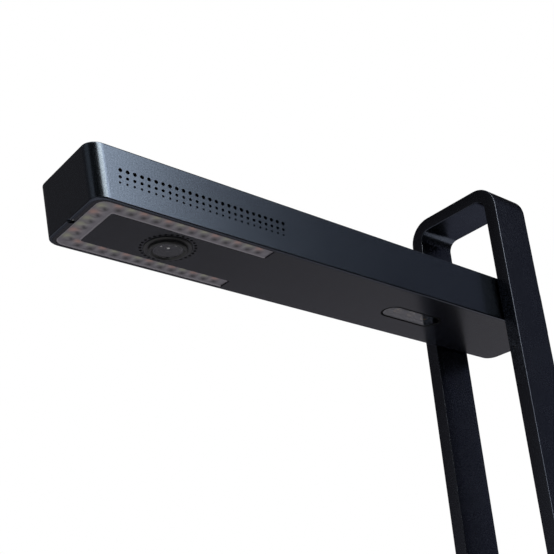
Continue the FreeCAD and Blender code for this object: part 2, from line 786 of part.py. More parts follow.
def arm_shell():
    hollow = doc.addObject("PartDesign::Body", "arm_hollow")
    arm_block(hollow, inner_half, roof, d.arm_wall, d.arm_corner - d.arm_wall)
    body = new_body("arm_shell", ARM)
    arm_block(body, half_arm, d.arm_height, as_size(0), d.arm_corner)
    ends = (as_size(0), d.arm_height)
    soften(body, "Fillet", d.edge_round, lambda edge: any(edge_lies(edge, "Z", end) for end in ends))
    doc.recompute()
    shell = body.newObject("PartDesign::Boolean", "shell")
    shell.Type = "Cut"
    shell.setObjects([hollow])
    doc.recompute()

    posts(body, tray_spots, tray_roof, roof, d.post_radius)
    posts(body, camera_spots, sensor_top, roof, d.post_radius)
    posts(body, main_spots, main_top, roof, d.post_radius)
    posts(body, laser_spots, ear_top, roof, d.post_radius)

    seats = new_sketch(body, offset=d.plate_thick + d.hairline)
    seat_end = d.seat_first + d.seat_long
    rectangle(seats, inner_half - d.seat_wide, inner_half + OVERLAP, d.seat_first, seat_end)
    rectangle(seats, -inner_half - OVERLAP, d.seat_wide - inner_half, d.seat_first, seat_end)
    seat = pad(body, seats, d.seat_high)
    row_of(body, [seat], seats, "V_Axis", d.seat_pitch, d.seat_count)

    pads = new_sketch(body, offset=bracket_top)
    for left, right in ((-inner_half - OVERLAP, -bracket_inner), (bracket_inner, inner_half + OVERLAP)):
        rectangle(pads, left, right, hinge_reach - d.bracket_half, hinge_reach + d.bracket_half)
    pad(body, pads, roof - bracket_top)
    drill(body, bracket_spots, bracket_top, d.bracket_grip + d.hairline, d.bracket_shank)

    shaft_hole = new_sketch(body, "YZ_Plane", -half_arm - THROUGH)
    circle(shaft_hole, hinge_reach, d.hinge_height, d.shaft_radius + d.shaft_window)
    cut(body, shaft_hole)

    notch = new_sketch(body)
    circle(notch, d.notch_across, d.notch_back, d.notch_radius)
    cut(body, notch, d.notch_deep)
    reset = new_sketch(body, "XZ_Plane")
    circle(reset, d.pin_hole_across, d.pin_hole_up, d.pin_hole)
    cut(body, reset, d.head_setback + d.arm_wall + THROUGH, forward=False)

    vents = new_sketch(body, "YZ_Plane", half_arm)
    rows = (
        (d.vent_upper, d.vent_large),
        (d.vent_middle, d.vent_medium),
        (d.vent_lower, d.vent_small),
    )
    for height, radius in rows:
        circle(vents, d.vent_start, height, radius)
    column = cut(body, vents, d.arm_wall + OVERLAP, forward=False)
    row_of(body, [column], vents, "H_Axis", d.vent_pitch, d.vent_columns)


def u_shape(sketch, grow, end_grow=None):
    # The light's U, open towards the rear. A positive grow makes its band wider all round.
    outer = light_outer + grow
    inner = light_inner - grow
    front = d.light_front - grow
    back = d.light_back + grow
    end = d.light_end + (grow if end_grow is None else end_grow)
    outline(sketch, [
        (-outer, end),
        (-outer, front, d.light_corner + grow),
        (outer, front, d.light_corner + grow),
        (outer, end),
        (inner, end),
        (inner, back, d.light_inside_corner),
        (-inner, back, d.light_inside_corner),
        (-inner, end),
    ])


def arm_underplate():
    body = new_body("arm_underplate", ARM)
    plan = new_sketch(body)
    inset = d.arm_wall + d.seam
    rectangle(
        plan,
        inset - half_arm,
        half_arm - inset,
        head_face(as_size(0), inset),
        d.arm_length - inset,
        d.arm_corner - inset,
    )
    pad(body, plan, d.plate_thick)
    slot = new_sketch(body)
    u_shape(slot, as_size(0))
    cut(body, slot, d.plate_thick)
    openings = new_sketch(body)
    circle(openings, 0, d.lens_back, bezel_outer + d.seam)
    rectangle(
        openings,
        -d.window_half_wide,
        d.window_half_wide,
        window_middle - d.window_half_long,
        window_middle + d.window_half_long,
        d.window_half_wide - d.hairline,
    )
    cut(body, openings, d.plate_thick)
    notch = new_sketch(body)
    circle(notch, d.notch_across, d.notch_back, d.notch_radius)
    cut(body, notch, d.plate_thick)
    ring = new_sketch(body)
    turn = 2 * math.pi / d.ring_holes.number
    for index in range(int(d.ring_holes.number)):
        across = ring_radius * round(math.cos(index * turn), 6)
        along = d.lens_back + ring_radius * round(math.sin(index * turn), 6)
        circle(ring, across, along, d.ring_hole)
    cut(body, ring, d.plate_thick)


def plate_clips():
    # One clip ahead of each seat rib, and one behind the hinge bracket.
    pieces = []
    plate_half = inner_half - d.seam
    first = d.seat_first - d.clip_gap - d.clip_long
    places = [first + index * d.seat_pitch for index in range(int(d.seat_count.number))]
    places.append(hinge_reach + d.bracket_half + d.clip_gap)
    for side in (-1, 1):
        for y in places:
            foot_left = plate_half - d.clip_foot if side > 0 else -plate_half
            foot = box("clip_foot", ARM, foot_left, y, d.plate_thick, d.clip_foot, d.clip_long, d.clip_steel)
            stem_left = plate_half - d.clip_steel if side > 0 else -plate_half
            stem = box("clip_stem", ARM, stem_left, y, d.plate_thick, d.clip_steel, d.clip_long, d.clip_high)
            pieces.append(fused("plate_clip", [foot, stem]))
    group("plate_clips", pieces)


def light_cover():
    body = new_body("light_cover", ARM)
    face = new_sketch(body, offset=-d.cover_proud)
    u_shape(face, -d.hairline)
    pad(body, face, d.plate_thick + d.cover_proud)
    flange = new_sketch(body, offset=d.plate_thick)
    u_shape(flange, d.cover_lip)
    pad(body, flange, d.flange_thick)


def light_tray():
    body = new_body("light_tray", ARM)
    block = new_sketch(body, offset=light_floor)
    u_shape(block, d.tray_wall)
    pad(body, block, d.tray_high)
    hollow = new_sketch(body, offset=light_floor)
    u_shape(hollow, as_size(0))
    cut(body, hollow, d.tray_high - d.tray_top)
    lead_hole = [(light_lead_side, lead_start)]
    drill(body, tray_spots, light_floor, d.tray_high, d.small_hole)
    drill(body, lead_hole, light_floor, d.tray_high, d.light_lead_radius + d.lead_gap)


def light_board():
    body = new_body("light_board", ARM)
    plan = new_sketch(body, offset=board_low)
    u_shape(plan, -d.seam)
    pad(body, plan, d.board_thick)
    drill(body, tray_spots, board_low, d.board_thick, d.small_hole)


def light_chips():
    body = new_body("light_chips", ARM)
    low = board_low - d.led_high
    for side in (-1, 1):
        sketch = new_sketch(body, offset=low)
        left = side * led_side - d.led_wide / 2
        front = d.led_first - d.led_deep / 2
        rectangle(sketch, left, left + d.led_wide, front, front + d.led_deep)
        chip = pad(body, sketch, d.led_high)
        row_of(body, [chip], sketch, "V_Axis", d.led_pitch, d.led_per_side)
    sketch = new_sketch(body, offset=low)
    left = -d.led_pitch * (d.led_in_head - 1) / 2 - d.led_deep / 2
    front = d.led_head - d.led_wide / 2
    rectangle(sketch, left, left + d.led_deep, front, front + d.led_wide)
    chip = pad(body, sketch, d.led_high)
    row_of(body, [chip], sketch, "H_Axis", d.led_pitch, d.led_in_head)


def lens_bezel():
    body = new_body("lens_bezel", ARM, y=d.lens_back)
    profile = new_sketch(body, "XZ_Plane")
    outline(profile, [
        (bezel_inner, -d.bezel_proud),
        (bezel_outer - d.bezel_proud / 2, -d.bezel_proud),
        (bezel_outer, -d.bezel_proud / 2),
        (bezel_outer, d.plate_thick),
        (bezel_outer + d.bezel_lip, d.plate_thick),
        (bezel_outer + d.bezel_lip, light_floor),
        (bezel_inner, light_floor),
    ])
    spin(body, profile)


def lens_barrel():
    body = new_body("lens_barrel", ARM, y=d.lens_back)
    glass_low = d.glass_sunk - d.barrel_proud
    glass_top = glass_low + d.glass_thick
    bore = d.glass_radius + d.hairline
    profile = new_sketch(body, "XZ_Plane")
    outline(profile, [
        (barrel_mouth, -d.barrel_proud),
        (barrel_radius - d.barrel_chamfer, -d.barrel_proud),
        (barrel_radius, d.barrel_chamfer - d.barrel_proud),
        (barrel_radius, d.barrel_top),
        (optic_rear_radius + d.optic_fit, d.barrel_top),
        (optic_rear_radius + d.optic_fit, d.optic_step),
        (optic_radius + d.optic_fit, d.optic_step),
        (optic_radius + d.optic_fit, glass_top + d.hairline),
        (bore, glass_top + d.hairline),
        (bore, glass_low),
    ])
    spin(body, profile)


def lens_glass():
    low = d.glass_sunk - d.barrel_proud
    glass = cylinder("lens_glass", ARM, 0, d.lens_back, low, d.glass_radius, d.glass_thick)
    node(glass, "lens_glass")


def lens_elements():
    # Each element is the part of a short cylinder that lies inside a large ball.
    front = d.glass_sunk - d.barrel_proud + d.glass_thick + d.hairline * 2
    middle = d.optic_step - d.optic_rest - d.optic_middle_thick
    rear = d.optic_step + d.optic_space
    stack = (
        (optic_radius, front, d.optic_front_thick),
        (optic_radius, middle, d.optic_middle_thick),
        (optic_rear_radius, rear, d.optic_rear_thick),
    )
    pieces = []
    for radius, low, thick in stack:
        blank = cylinder("element_blank", ARM, 0, d.lens_back, low, radius, thick)
        ball = doc.addObject("Part::Sphere", "element_ball")
        bind(ball, "Radius", d.optic_curve)
        set_down(ball, ARM, 0, d.lens_back, low + d.optic_curve)
        element = doc.addObject("Part::Common", "element")
        element.Base = blank
        element.Tool = ball
        pieces.append(element)
    group("lens_elements", pieces)


def camera_housing():
    body = new_body("camera_housing", ARM, y=d.lens_back)
    tube_sketch = new_sketch(body, offset=d.housing_start)
    circle(tube_sketch, 0, 0, housing_radius)
    pad(body, tube_sketch, d.housing_flange - d.housing_start)
    flange = new_sketch(body, offset=d.housing_flange)
    rectangle(flange, -d.sensor_side, d.sensor_side, -d.sensor_side, d.sensor_side, d.post_radius)
    pad(body, flange, d.flange_high)
    drill(body, [(0, 0)], d.housing_start, d.barrel_top - d.housing_start, barrel_radius + d.thread_gap)
    drill(body, [(0, 0)], d.barrel_top, sensor_low - d.barrel_top, d.sensor_gate)
    corners = [(x * d.sensor_screws, y * d.sensor_screws) for x in (-1, 1) for y in (-1, 1)]
    drill(body, corners, d.housing_flange, d.flange_high, d.small_hole)


def sensor_board():
    body = new_body("sensor_board", ARM, y=d.lens_back)
    plan = new_sketch(body, offset=sensor_low)
    rectangle(plan, -d.sensor_side, d.sensor_side, -d.sensor_side, d.sensor_side, d.post_radius)
    pad(body, plan, d.circuit_thick)
    corners = [(x * d.sensor_screws, y * d.sensor_screws) for x in (-1, 1) for y in (-1, 1)]
    drill(body, corners, sensor_low, d.circuit_thick, d.small_hole)


def camera_small_pieces():
    low = sensor_low - d.sensor_high
    x = -d.sensor_wide / 2
    y = d.lens_back - d.sensor_deep / 2
    node(box("image_sensor", ARM, x, y, low, d.sensor_wide, d.sensor_deep, d.sensor_high), "image_sensor")
    start = d.lens_back + d.sensor_side - d.ribbon_lap
    length = d.main_front + d.ribbon_lap - start
    x = -d.ribbon_wide / 2
    ribbon = box("camera_ribbon", ARM, x, start, sensor_top, d.ribbon_wide, length, d.ribbon_thick)
    node(ribbon, "camera_ribbon")


def main_board():
    body = new_body("main_board", ARM)
    plan = new_sketch(body, offset=main_low)
    rectangle(plan, -main_half, main_half, d.main_front, d.main_back)
    pad(body, plan, d.main_thick)
    drill(body, main_spots, main_low, d.main_thick, d.small_hole)


def board_parts():
    front = d.chip_back - d.chip_side / 2
    chips = [box("processor", ARM, -d.chip_side / 2, front, main_top, d.chip_side, d.chip_side, d.chip_high)]
    memory_front = d.chip_back + d.chip_side / 2 + d.memory_gap
    for way in (-1, 1):
        left = way * (d.memory_wide / 2 + d.memory_gap / 2) - d.memory_wide / 2
        chips.append(
            box("memory", ARM, left, memory_front, main_top, d.memory_wide, d.memory_deep, d.chip_high)
        )
    group("board_chips", chips)
    low = main_top + d.chip_high
    left = -d.block_side / 2
    block = box(
        "heat_block", ARM, left, d.chip_back + left, low, d.block_side, d.block_side, roof - d.hairline - low
    )
    node(block, "heat_block")
    plug = box(
        "board_plug",
        ARM,
        d.cable_side - d.plug_long / 2,
        d.main_back - d.plug_wide - d.hairline,
        main_low - d.plug_high,
        d.plug_long,
        d.plug_wide,
        d.plug_high,
    )
    node(plug, "board_plug")


def laser_window():
    body = new_body("laser_window", ARM)
    faces = (
        (d.hairline, -d.hairline, d.plate_thick - d.hairline),
        (d.plate_thick, d.window_lip, d.flange_thick),
    )
    for low, grow, thick in faces:
        sketch = new_sketch(body, offset=low)
        half_wide = d.window_half_wide + grow
        half_long = d.window_half_long + grow
        front = window_middle - half_long
        back = window_middle + half_long
        rectangle(sketch, -half_wide, half_wide, front, back, half_wide - d.hairline)
        pad(body, sketch, thick)


laser_places = [window_middle + index * d.laser_pitch for index in (-1, 0, 1)]


def laser_holder():
    body = new_body("laser_holder", ARM)
    block = new_sketch(body, offset=d.holder_low)
    half = d.holder_half_wide
    rectangle(block, -half, half, window_middle - d.holder_half_long, window_middle + d.holder_half_long)
    pad(body, block, d.holder_high)
    ears = new_sketch(body, offset=ear_top - d.ear_high)
    reach = d.holder_half_long + d.ear_long
    rectangle(ears, -half, half, window_middle - reach, window_middle + reach, d.post_radius)
    pad(body, ears, d.ear_high)
    bores = [(as_size(0), y) for y in laser_places]
    drill(body, bores, d.holder_low, d.holder_high, d.laser_radius + d.thread_gap)
    drill(body, laser_spots, ear_top - d.ear_high, d.ear_high, d.small_hole)


def lasers():
    barrels = []
    lenses = []
    for y in laser_places:
        blank = cylinder("laser_blank", ARM, 0, y, d.laser_low, d.laser_radius, d.laser_long)
        recess = cylinder("laser_recess", ARM, 0, y, d.laser_low, d.laser_lens, d.laser_lens_deep * 2)
        barrels.append(minus("laser_barrel", blank, recess))
        lens_low = d.laser_low + d.laser_lens_deep
        lenses.append(cylinder("laser_lens", ARM, 0, y, lens_low, d.laser_lens, d.laser_lens_deep))
    group("laser_barrels", barrels)
    group("laser_lenses", lenses)


def dust_screen():
    start = d.vent_start - d.screen_margin
    long = d.vent_pitch * (d.vent_columns - 1) + 2 * d.screen_margin
    low = d.vent_lower - d.screen_margin
    high = d.vent_upper - d.vent_lower + 2 * d.screen_margin
    left = inner_half - d.screen_thick
    node(box("dust_screen", ARM, left, start, low, d.screen_thick, long, high), "dust_screen")


def arm_screws():
    small = (d.small_head, d.small_head_high, d.small_shank, d.small_grip)
    seats = (
        (tray_spots, board_low, d.board_thick + d.tray_top),
        (camera_spots, d.housing_flange, d.flange_high + d.circuit_thick),
        (main_spots, main_low, d.main_thick),
        (laser_spots, ear_top - d.ear_high, d.ear_high),
    )
    pieces = []
    for spots, face, stack in seats:
        sizes = small[:3] + (d.small_grip + stack,)
        for x, y in spots:
            pieces.append(round_screw(ARM, x, y, face - d.small_head_high, sizes))
    group("arm_screws", pieces)


# Hinge, on the axis between arm and legs

HINGE = (ARM[0], ARM[1] + hinge_reach, ARM[2] + d.hinge_height)
leg_inner = half_arm + d.leg_gap
bush_outer = d.shaft_radius + d.bush_wall
notch_floor = d.shaft_radius + d.stop_floor
stop_circle = notch_floor + d.pin_gap + d.stop_pin_radius
disc_radius = notch_floor + d.disc_rim
spring_radius = d.shaft_radius + d.spring_wide
nut_flat = d.shaft_radius + d.nut_wide
disc_outer_face = bracket_inner
disc_inner_face = disc_outer_face - d.disc_thick
spring_inner_face = disc_inner_face - 2 * d.spring_thick
shaft_inner = spring_inner_face - d.nut_high - d.shaft_end
SIDES = ((-1, "left", TO_LEFT), (1, "right", TO_RIGHT))


def along_axis(label, side, turn, start, end, radius):
    # A cylinder on the hinge axis between two distances from the centre line.
    return cylinder(label, HINGE, side * start, 0, 0, radius, end - start, turn)


def washer(label, side, turn, start, end, radius, hole):
    outside = along_axis("washer_outside", side, turn, start, end, radius)
    inside = along_axis("washer_hole", side, turn, start, end, hole)
    return minus(label, outside, inside)


def hinge_brackets():
    outer = inner_half - d.hairline
    for side, name, turn in SIDES:
        body = new_body(f"hinge_bracket_{name}", ARM)
        plan = new_sketch(body, offset=bracket_low)
        left, right = (bracket_inner, outer) if side > 0 else (-outer, -bracket_inner)
        rectangle(plan, left, right, hinge_reach - d.bracket_half, hinge_reach + d.bracket_half)
        pad(body, plan, bracket_top - bracket_low)
        bore = new_sketch(body, "YZ_Plane", side * bracket_inner)
        circle(bore, hinge_reach, d.hinge_height, bush_outer + d.thread_gap)
        cut(body, bore, outer - bracket_inner, forward=side > 0)
        pin = new_sketch(body, "YZ_Plane", side * bracket_inner)
        circle(pin, *stop_pin_place(hinge_reach, d.hinge_height), d.stop_pin_radius + d.thread_gap)
        cut(body, pin, d.stop_pin_deep, forward=side > 0)
        spots = bracket_spots[:2] if side < 0 else bracket_spots[2:]
        drill(body, spots, bracket_low, bracket_top - bracket_low, d.bracket_hole)
        drill(body, spots, bracket_low, d.bracket_head_high, d.bracket_head + d.hairline)


def stop_pin_place(y, z):
    angle = math.radians(d.stop_angle.number)
    return y + stop_circle * round(math.cos(angle), 6), z + stop_circle * round(math.sin(angle), 6)


def bracket_screws():
    reach = bracket_top - bracket_low - d.bracket_head_high + d.bracket_grip
    sizes = (d.bracket_head, d.bracket_head_high, d.bracket_shank - d.thread_gap, reach)
    group("bracket_screws", [round_screw(ARM, x, y, bracket_low, sizes) for x, y in bracket_spots])


def stop_disc(side, turn):
    # A disc keyed to the shaft. The stop pin runs in the notch of its rim.
    disc = washer("stop_blank", side, turn, disc_inner_face, disc_outer_face - d.hairline, disc_radius,
                  d.shaft_radius + d.thread_gap)
    pin_half = math.degrees(math.asin(d.stop_pin_radius.number / stop_circle.number))
    opening = d.fold_angle.number + 2 * pin_half + 2 * d.stop_play.number
    first = d.stop_angle.number - pin_half - d.stop_play.number
    # The sector is drawn about the hinge axis, from the rear and turning up, as the arm folds.
    about_axis = Rotation(Vector(1, 0, 0), first) * Rotation(Vector(1, 1, 1), 120)
    low = disc_inner_face - THROUGH if side > 0 else -disc_outer_face - THROUGH
    wide = d.disc_thick + 2 * THROUGH
    sector = cylinder("notch_sector", HINGE, low, 0, 0, disc_radius + THROUGH, wide, about_axis)
    sector.Angle = opening
    floor = cylinder("notch_floor", HINGE, low, 0, 0, notch_floor, wide, about_axis)
    return minus("stop_disc", disc, minus("notch", sector, floor))


def hinge_pieces():
    spacers = []
    bushes = []
    discs = []
    pins = []
    springs = []
    nuts = []
    bush_hole = d.shaft_radius + d.shaft_fit
    loose = d.shaft_radius + d.thread_gap
    for side, name, turn in SIDES:
        spacer_hole = d.shaft_radius + d.shaft_window
        spacers.append(washer("spacer", side, turn, half_arm, leg_inner, d.spacer_radius, spacer_hole))
        bush_end = inner_half - d.hairline
        bushes.append(washer("bush", side, turn, bracket_inner, bush_end, bush_outer, bush_hole))
        discs.append(stop_disc(side, turn))
        y, z = stop_pin_place(as_size(0), as_size(0))
        pin_start = disc_inner_face + d.hairline
        pin_long = bracket_inner + d.stop_pin_deep - pin_start
        pins.append(cylinder("stop_pin", HINGE, side * pin_start, y, z, d.stop_pin_radius, pin_long, turn))
        for index in (0, 1):
            inner = disc_inner_face - (index + 1) * d.spring_thick
            springs.append(
                washer("disc_spring", side, turn, inner, inner + d.spring_thick, spring_radius, loose)
            )
        blank = doc.addObject("Part::Prism", "nut_blank")
        blank.Placement = Placement(Vector(), turn)
        blank.Polygon = HEXAGON
        bind(blank, "Circumradius", nut_flat / round(math.cos(math.pi / 6), 6))
        bind(blank, "Height", d.nut_high)
        set_down(blank, HINGE, side * (spring_inner_face - d.nut_high))
        hole = along_axis("nut_hole", side, turn, spring_inner_face - d.nut_high, spring_inner_face, loose)
        nuts.append(minus("nut", blank, hole))
        shaft_end = leg_inner + d.shaft_in_leg
        shaft = along_axis("shaft_blank", side, turn, shaft_inner, shaft_end, d.shaft_radius)
        if name == "right":
            bore = along_axis("shaft_bore", side, turn, shaft_inner, shaft_end, d.shaft_bore)
            shaft = minus("shaft", shaft, bore)
        node(shaft, f"hinge_shaft_{name}")
    group("hinge_spacers", spacers)
    group("hinge_bushes", bushes)
    group("stop_discs", discs)
    group("stop_pins", pins)
    group("disc_springs", springs)
    group("hinge_nuts", nuts)


# Stand

leg_outer = leg_inner + d.bar_thick
leg_middle = leg_inner + d.bar_thick / 2
leg_end = d.foot_high + d.floor_thick
half_deep = d.bar_deep / 2
loop_top = d.arm_above_desk + d.handle_rise
loop_inside = loop_top - d.bar_thick
hinge_above_desk = d.arm_above_desk + d.hinge_height
strip_start = d.base_height - d.strip_start
leg_cable_side = leg_inner + d.groove_deep - d.leg_cable_gap - d.arm_cable_radius
leg_cable_out = leg_inner - d.leg_cable_out
strip_top = hinge_above_desk - d.spacer_radius - d.strip_gap


def stand_loop():
    body = new_body("stand_loop", STAND)
    shape = new_sketch(body, "XZ_Plane", -half_deep)
    inside_radius = d.loop_corner - d.bar_thick
    outline(shape, [
        (-leg_outer, leg_end),
        (-leg_inner, leg_end),
        (-leg_inner, loop_inside, inside_radius),
        (leg_inner, loop_inside, inside_radius),
        (leg_inner, leg_end),
        (leg_outer, leg_end),
        (leg_outer, loop_top, d.loop_corner),
        (-leg_outer, loop_top, d.loop_corner),
    ])
    pad(body, shape, d.bar_deep)

    def on_long_edge(edge):
        on_face = any(edge_lies(edge, "Y", face) for face in (-half_deep, half_deep))
        return on_face and not edge_lies(edge, "Z", leg_end)

    soften(body, "Chamfer", d.bar_chamfer, on_long_edge)
    for side in (-1, 1):
        bore = new_sketch(body, "YZ_Plane", side * leg_inner)
        circle(bore, 0, hinge_above_desk, d.shaft_radius + d.shaft_fit)
        cut(body, bore, d.shaft_in_leg, forward=side > 0)
    groove = new_sketch(body, "YZ_Plane", leg_inner)
    rectangle(groove, -d.groove_half, d.groove_half, leg_end - THROUGH, hinge_above_desk)
    cut(body, groove, d.groove_deep)
    round_end = new_sketch(body, "YZ_Plane", leg_inner)
    circle(round_end, 0, hinge_above_desk, d.groove_half)
    cut(body, round_end, d.groove_deep)
    recess = new_sketch(body, "YZ_Plane", leg_inner)
    half = d.strip_half + d.seam
    rectangle(recess, -half, half, leg_end - THROUGH, strip_top + d.seam)
    cut(body, recess, d.strip_thick + d.hairline)
    threads = [(side * leg_middle, way * d.leg_screw_apart) for side in (-1, 1) for way in (-1, 1)]
    drill(body, threads, leg_end, d.leg_screw_deep, d.leg_thread)
    set_holes = new_sketch(body, "XZ_Plane", -half_deep)
    for side in (-1, 1):
        circle(set_holes, side * (leg_inner + d.set_in), hinge_above_desk, d.set_radius + d.thread_gap)
    cut(body, set_holes, half_deep - d.shaft_radius / 2, forward=True)


def groove_cover():
    strip = box(
        "groove_cover",
        STAND,
        leg_inner,
        -d.strip_half,
        strip_start,
        d.strip_thick,
        2 * d.strip_half,
        strip_top - strip_start,
    )
    node(strip, "groove_cover")


def set_screws():
    pieces = []
    for side in (-1, 1):
        x = side * (leg_inner + d.set_in)
        y = d.shaft_radius + d.hairline
        back = Rotation(Vector(1, 0, 0), -90)
        blank = cylinder("set_blank", STAND, x, y, hinge_above_desk, d.set_radius, d.set_long, back)
        socket = doc.addObject("Part::Prism", "set_socket")
        socket.Placement = Placement(Vector(), TO_FRONT)
        set_down(socket, STAND, x, y + d.set_long, hinge_above_desk)
        socket.Polygon = HEXAGON
        bind(socket, "Circumradius", d.set_radius / 2)
        bind(socket, "Height", d.set_long / 3)
        pieces.append(minus("set_screw", blank, socket))
    group("set_screws", pieces)


# Base

half_base = d.base_width / 2
base_roof = d.base_height - d.base_wall
floor_top = d.foot_high + d.floor_thick
foot_side = half_base - d.foot_side
foot_fore = d.foot_fore - d.base_front
foot_aft = d.base_rear - d.foot_aft
corner_side = half_base - d.corner_inset
corner_fore = d.corner_inset - d.base_front
corner_aft = d.base_rear - d.corner_inset
control_line = d.control_line - d.base_front
control_top = base_roof - d.control_room
control_low = control_top - d.main_thick
control_plug_back = control_line + d.control_deep / 2
control_screw_side = d.control_half - d.control_screw
weight_half = half_base - d.weight_side
weight_fore = control_plug_back + d.weight_fore
weight_aft = -half_deep - d.weight_aft
weight_high = base_roof - d.weight_room - floor_top
weight_screw_side = weight_half - d.weight_screw
weight_screw_back = (weight_fore + weight_aft) / 2
port_fore = half_deep + d.port_fore
port_top = d.port_low + d.main_thick
control_cable_side = -d.button_pitch / 2  # midway between two buttons
control_cable_high = floor_top + weight_high + d.control_cable_gap + d.control_cable_radius
control_cable_low = port_top + d.control_cable_up
control_cable_drop = port_fore - d.control_cable_drop
control_cable_level = port_fore - d.control_cable_level
button_places = [index * d.button_pitch for index in (-1, 0, 1)]
foot_spots = [(side * foot_side, y) for side in (-1, 1) for y in (foot_fore, foot_aft)]
corner_spots = [(side * corner_side, y) for side in (-1, 1) for y in (corner_fore, corner_aft)]
control_spots = [(side * control_screw_side, control_line) for side in (-1, 1)]
weight_spots = [(side * weight_screw_side, weight_screw_back) for side in (-1, 1)]
standoff_spots = [(side * d.standoff_side, d.standoff_back) for side in (-1, 1)]
leg_spots = [(side * leg_middle, way * d.leg_screw_apart) for side in (-1, 1) for way in (-1, 1)]


def base_plan(sketch, inset):
    radius = d.base_corner - inset
    rectangle(sketch, inset - half_base, half_base - inset, inset - d.base_front, d.base_rear - inset, radius)


def base_cover():
    body = new_body("base_cover", STAND)
    plan = new_sketch(body, offset=d.foot_high)
    base_plan(plan, as_size(0))
    pad(body, plan, d.base_height - d.foot_high)
    soften(body, "Fillet", d.base_edge, lambda edge: edge_lies(edge, "Z", d.base_height))
    inside = new_sketch(body, offset=d.foot_high)
    base_plan(inside, d.base_wall)
    cut(body, inside, base_roof - d.foot_high)
    posts(body, corner_spots, floor_top, base_roof, d.corner_post, d.base_shank)
    control_posts = new_sketch(body, offset=control_top)
    for x, y in control_spots:
        circle(control_posts, x, y, d.control_post)
    pad(body, control_posts, base_roof - control_top)
    drill(body, control_spots, control_top, base_roof - control_top, d.small_shank + d.thread_gap)
    slots = new_sketch(body, offset=base_roof)
    gap = d.leg_slot_gap
    for left, right in ((-leg_outer - gap, gap - leg_inner), (leg_inner - gap, leg_outer + gap)):
        rectangle(slots, left, right, -half_deep - gap, half_deep + gap, d.leg_slot_corner)
    for x in button_places:
        circle(slots, x, control_line, d.button_radius + d.button_gap)
    circle(slots, d.status_side, control_line, d.status_radius + d.hairline)
    cut(body, slots, d.base_wall)
    ports = new_sketch(body, "XZ_Plane", -d.base_rear)
    gap = d.port_gap
    left = d.power_side - d.power_wide / 2
    rectangle(ports, left - gap, left + d.power_wide + gap, port_top - gap, port_top + d.power_high + gap)
    left = d.data_side - d.data_wide / 2
    radius = d.data_high / 2
    right = left + d.data_wide
    rectangle(ports, left - gap, right + gap, port_top - gap, port_top + d.data_high + gap, radius)
    cut(body, ports, d.base_wall + OVERLAP)


def base_plate():
    body = new_body("base_plate", STAND)
    plan = new_sketch(body, offset=d.foot_high)
    base_plan(plan, d.base_wall + d.base_seam)
    pad(body, plan, d.floor_thick)
    drill(body, foot_spots, d.foot_high, d.foot_sunk, d.foot_radius + d.hairline)
    small = corner_spots + weight_spots
    drill(body, small, d.foot_high, d.floor_thick, d.base_hole)
    drill(body, small, d.foot_high, d.base_head_high, d.base_head + d.head_gap)
    drill(body, leg_spots, d.foot_high, d.floor_thick, d.leg_thread)
    drill(body, leg_spots, d.foot_high, d.leg_screw_head_high, d.leg_screw_head + d.head_gap)
    pilots = new_sketch(body, offset=floor_top)
    for x, y in standoff_spots:
        circle(pilots, x, y, d.small_shank + d.thread_gap)
    cut(body, pilots, d.floor_thick, forward=False)


def base_weight():
    body = new_body("base_weight", STAND)
    plan = new_sketch(body, offset=floor_top)
    rectangle(plan, -weight_half, weight_half, weight_fore, weight_aft)
    pad(body, plan, weight_high)
    drill(body, weight_spots, floor_top, d.base_grip + d.hairline, d.base_shank + d.thread_gap)


def base_feet():
    feet = [
        cylinder("foot", STAND, x, y, 0, d.foot_radius, d.foot_high + d.foot_sunk)
        for x, y in foot_spots
    ]
    group("base_feet", feet)


def base_screws():
    sunk = d.base_head_high
    shank = d.base_shank - d.thread_gap
    plate_sizes = (d.base_head, sunk, shank, d.floor_thick - sunk + d.base_grip)
    pieces = [round_screw(STAND, x, y, d.foot_high, plate_sizes) for x, y in corner_spots + weight_spots]
    board_grip = base_roof - control_low - d.screw_short
    board_sizes = (d.small_head, d.small_head_high, d.small_shank, board_grip)
    for x, y in control_spots:
        pieces.append(round_screw(STAND, x, y, control_low - d.small_head_high, board_sizes))
    port_grip = port_top - d.foot_high - d.screw_short
    port_sizes = (d.small_head, d.small_head_high, d.small_shank, port_grip)
    for x, y in standoff_spots:
        pieces.append(round_screw(STAND, x, y, port_top + d.small_head_high, port_sizes, way=-1))
    group("base_screws", pieces)


def leg_screws():
    plate_left = d.floor_thick - d.leg_screw_head_high
    grip = plate_left + d.leg_screw_grip
    sizes = (d.leg_screw_head, d.leg_screw_head_high, d.leg_screw_shank, grip)
    group("leg_screws", [round_screw(STAND, x, y, d.foot_high, sizes) for x, y in leg_spots])


# Controls on the base

def control_board():
    body = new_body("control_board", STAND)
    plan = new_sketch(body, offset=control_low)
    front = control_line - d.control_deep / 2
    rectangle(plan, -d.control_half, d.control_half, front, front + d.control_deep)
    pad(body, plan, d.main_thick)
    drill(body, control_spots, control_low, d.main_thick, d.small_hole)


def switches():
    half = d.switch_side / 2
    pieces = [
        box("switch", STAND, x - half, control_line - half, control_top, d.switch_side, d.switch_side,
            d.switch_high)
        for x in button_places
    ]
    group("switches", pieces)


def buttons():
    for x, name in zip(button_places, ("power_button", "light_button", "scan_button")):
        body = new_body(name, STAND, x, control_line)
        flange_top = base_roof - d.hairline
        stem_low = control_top + d.switch_high + d.switch_gap + d.button_travel
        stem = new_sketch(body, offset=stem_low)
        circle(stem, 0, 0, d.button_stem)
        pad(body, stem, flange_top - stem_low)
        flange = new_sketch(body, offset=flange_top - d.button_flange_high)
        circle(flange, 0, 0, d.button_flange)
        pad(body, flange, d.button_flange_high)
        cap = new_sketch(body, offset=flange_top)
        circle(cap, 0, 0, d.button_radius)
        cap_top = d.base_height + d.button_proud
        pad(body, cap, cap_top - flange_top)
        soften(body, "Fillet", d.button_round, lambda edge: edge_lies(edge, "Z", cap_top))


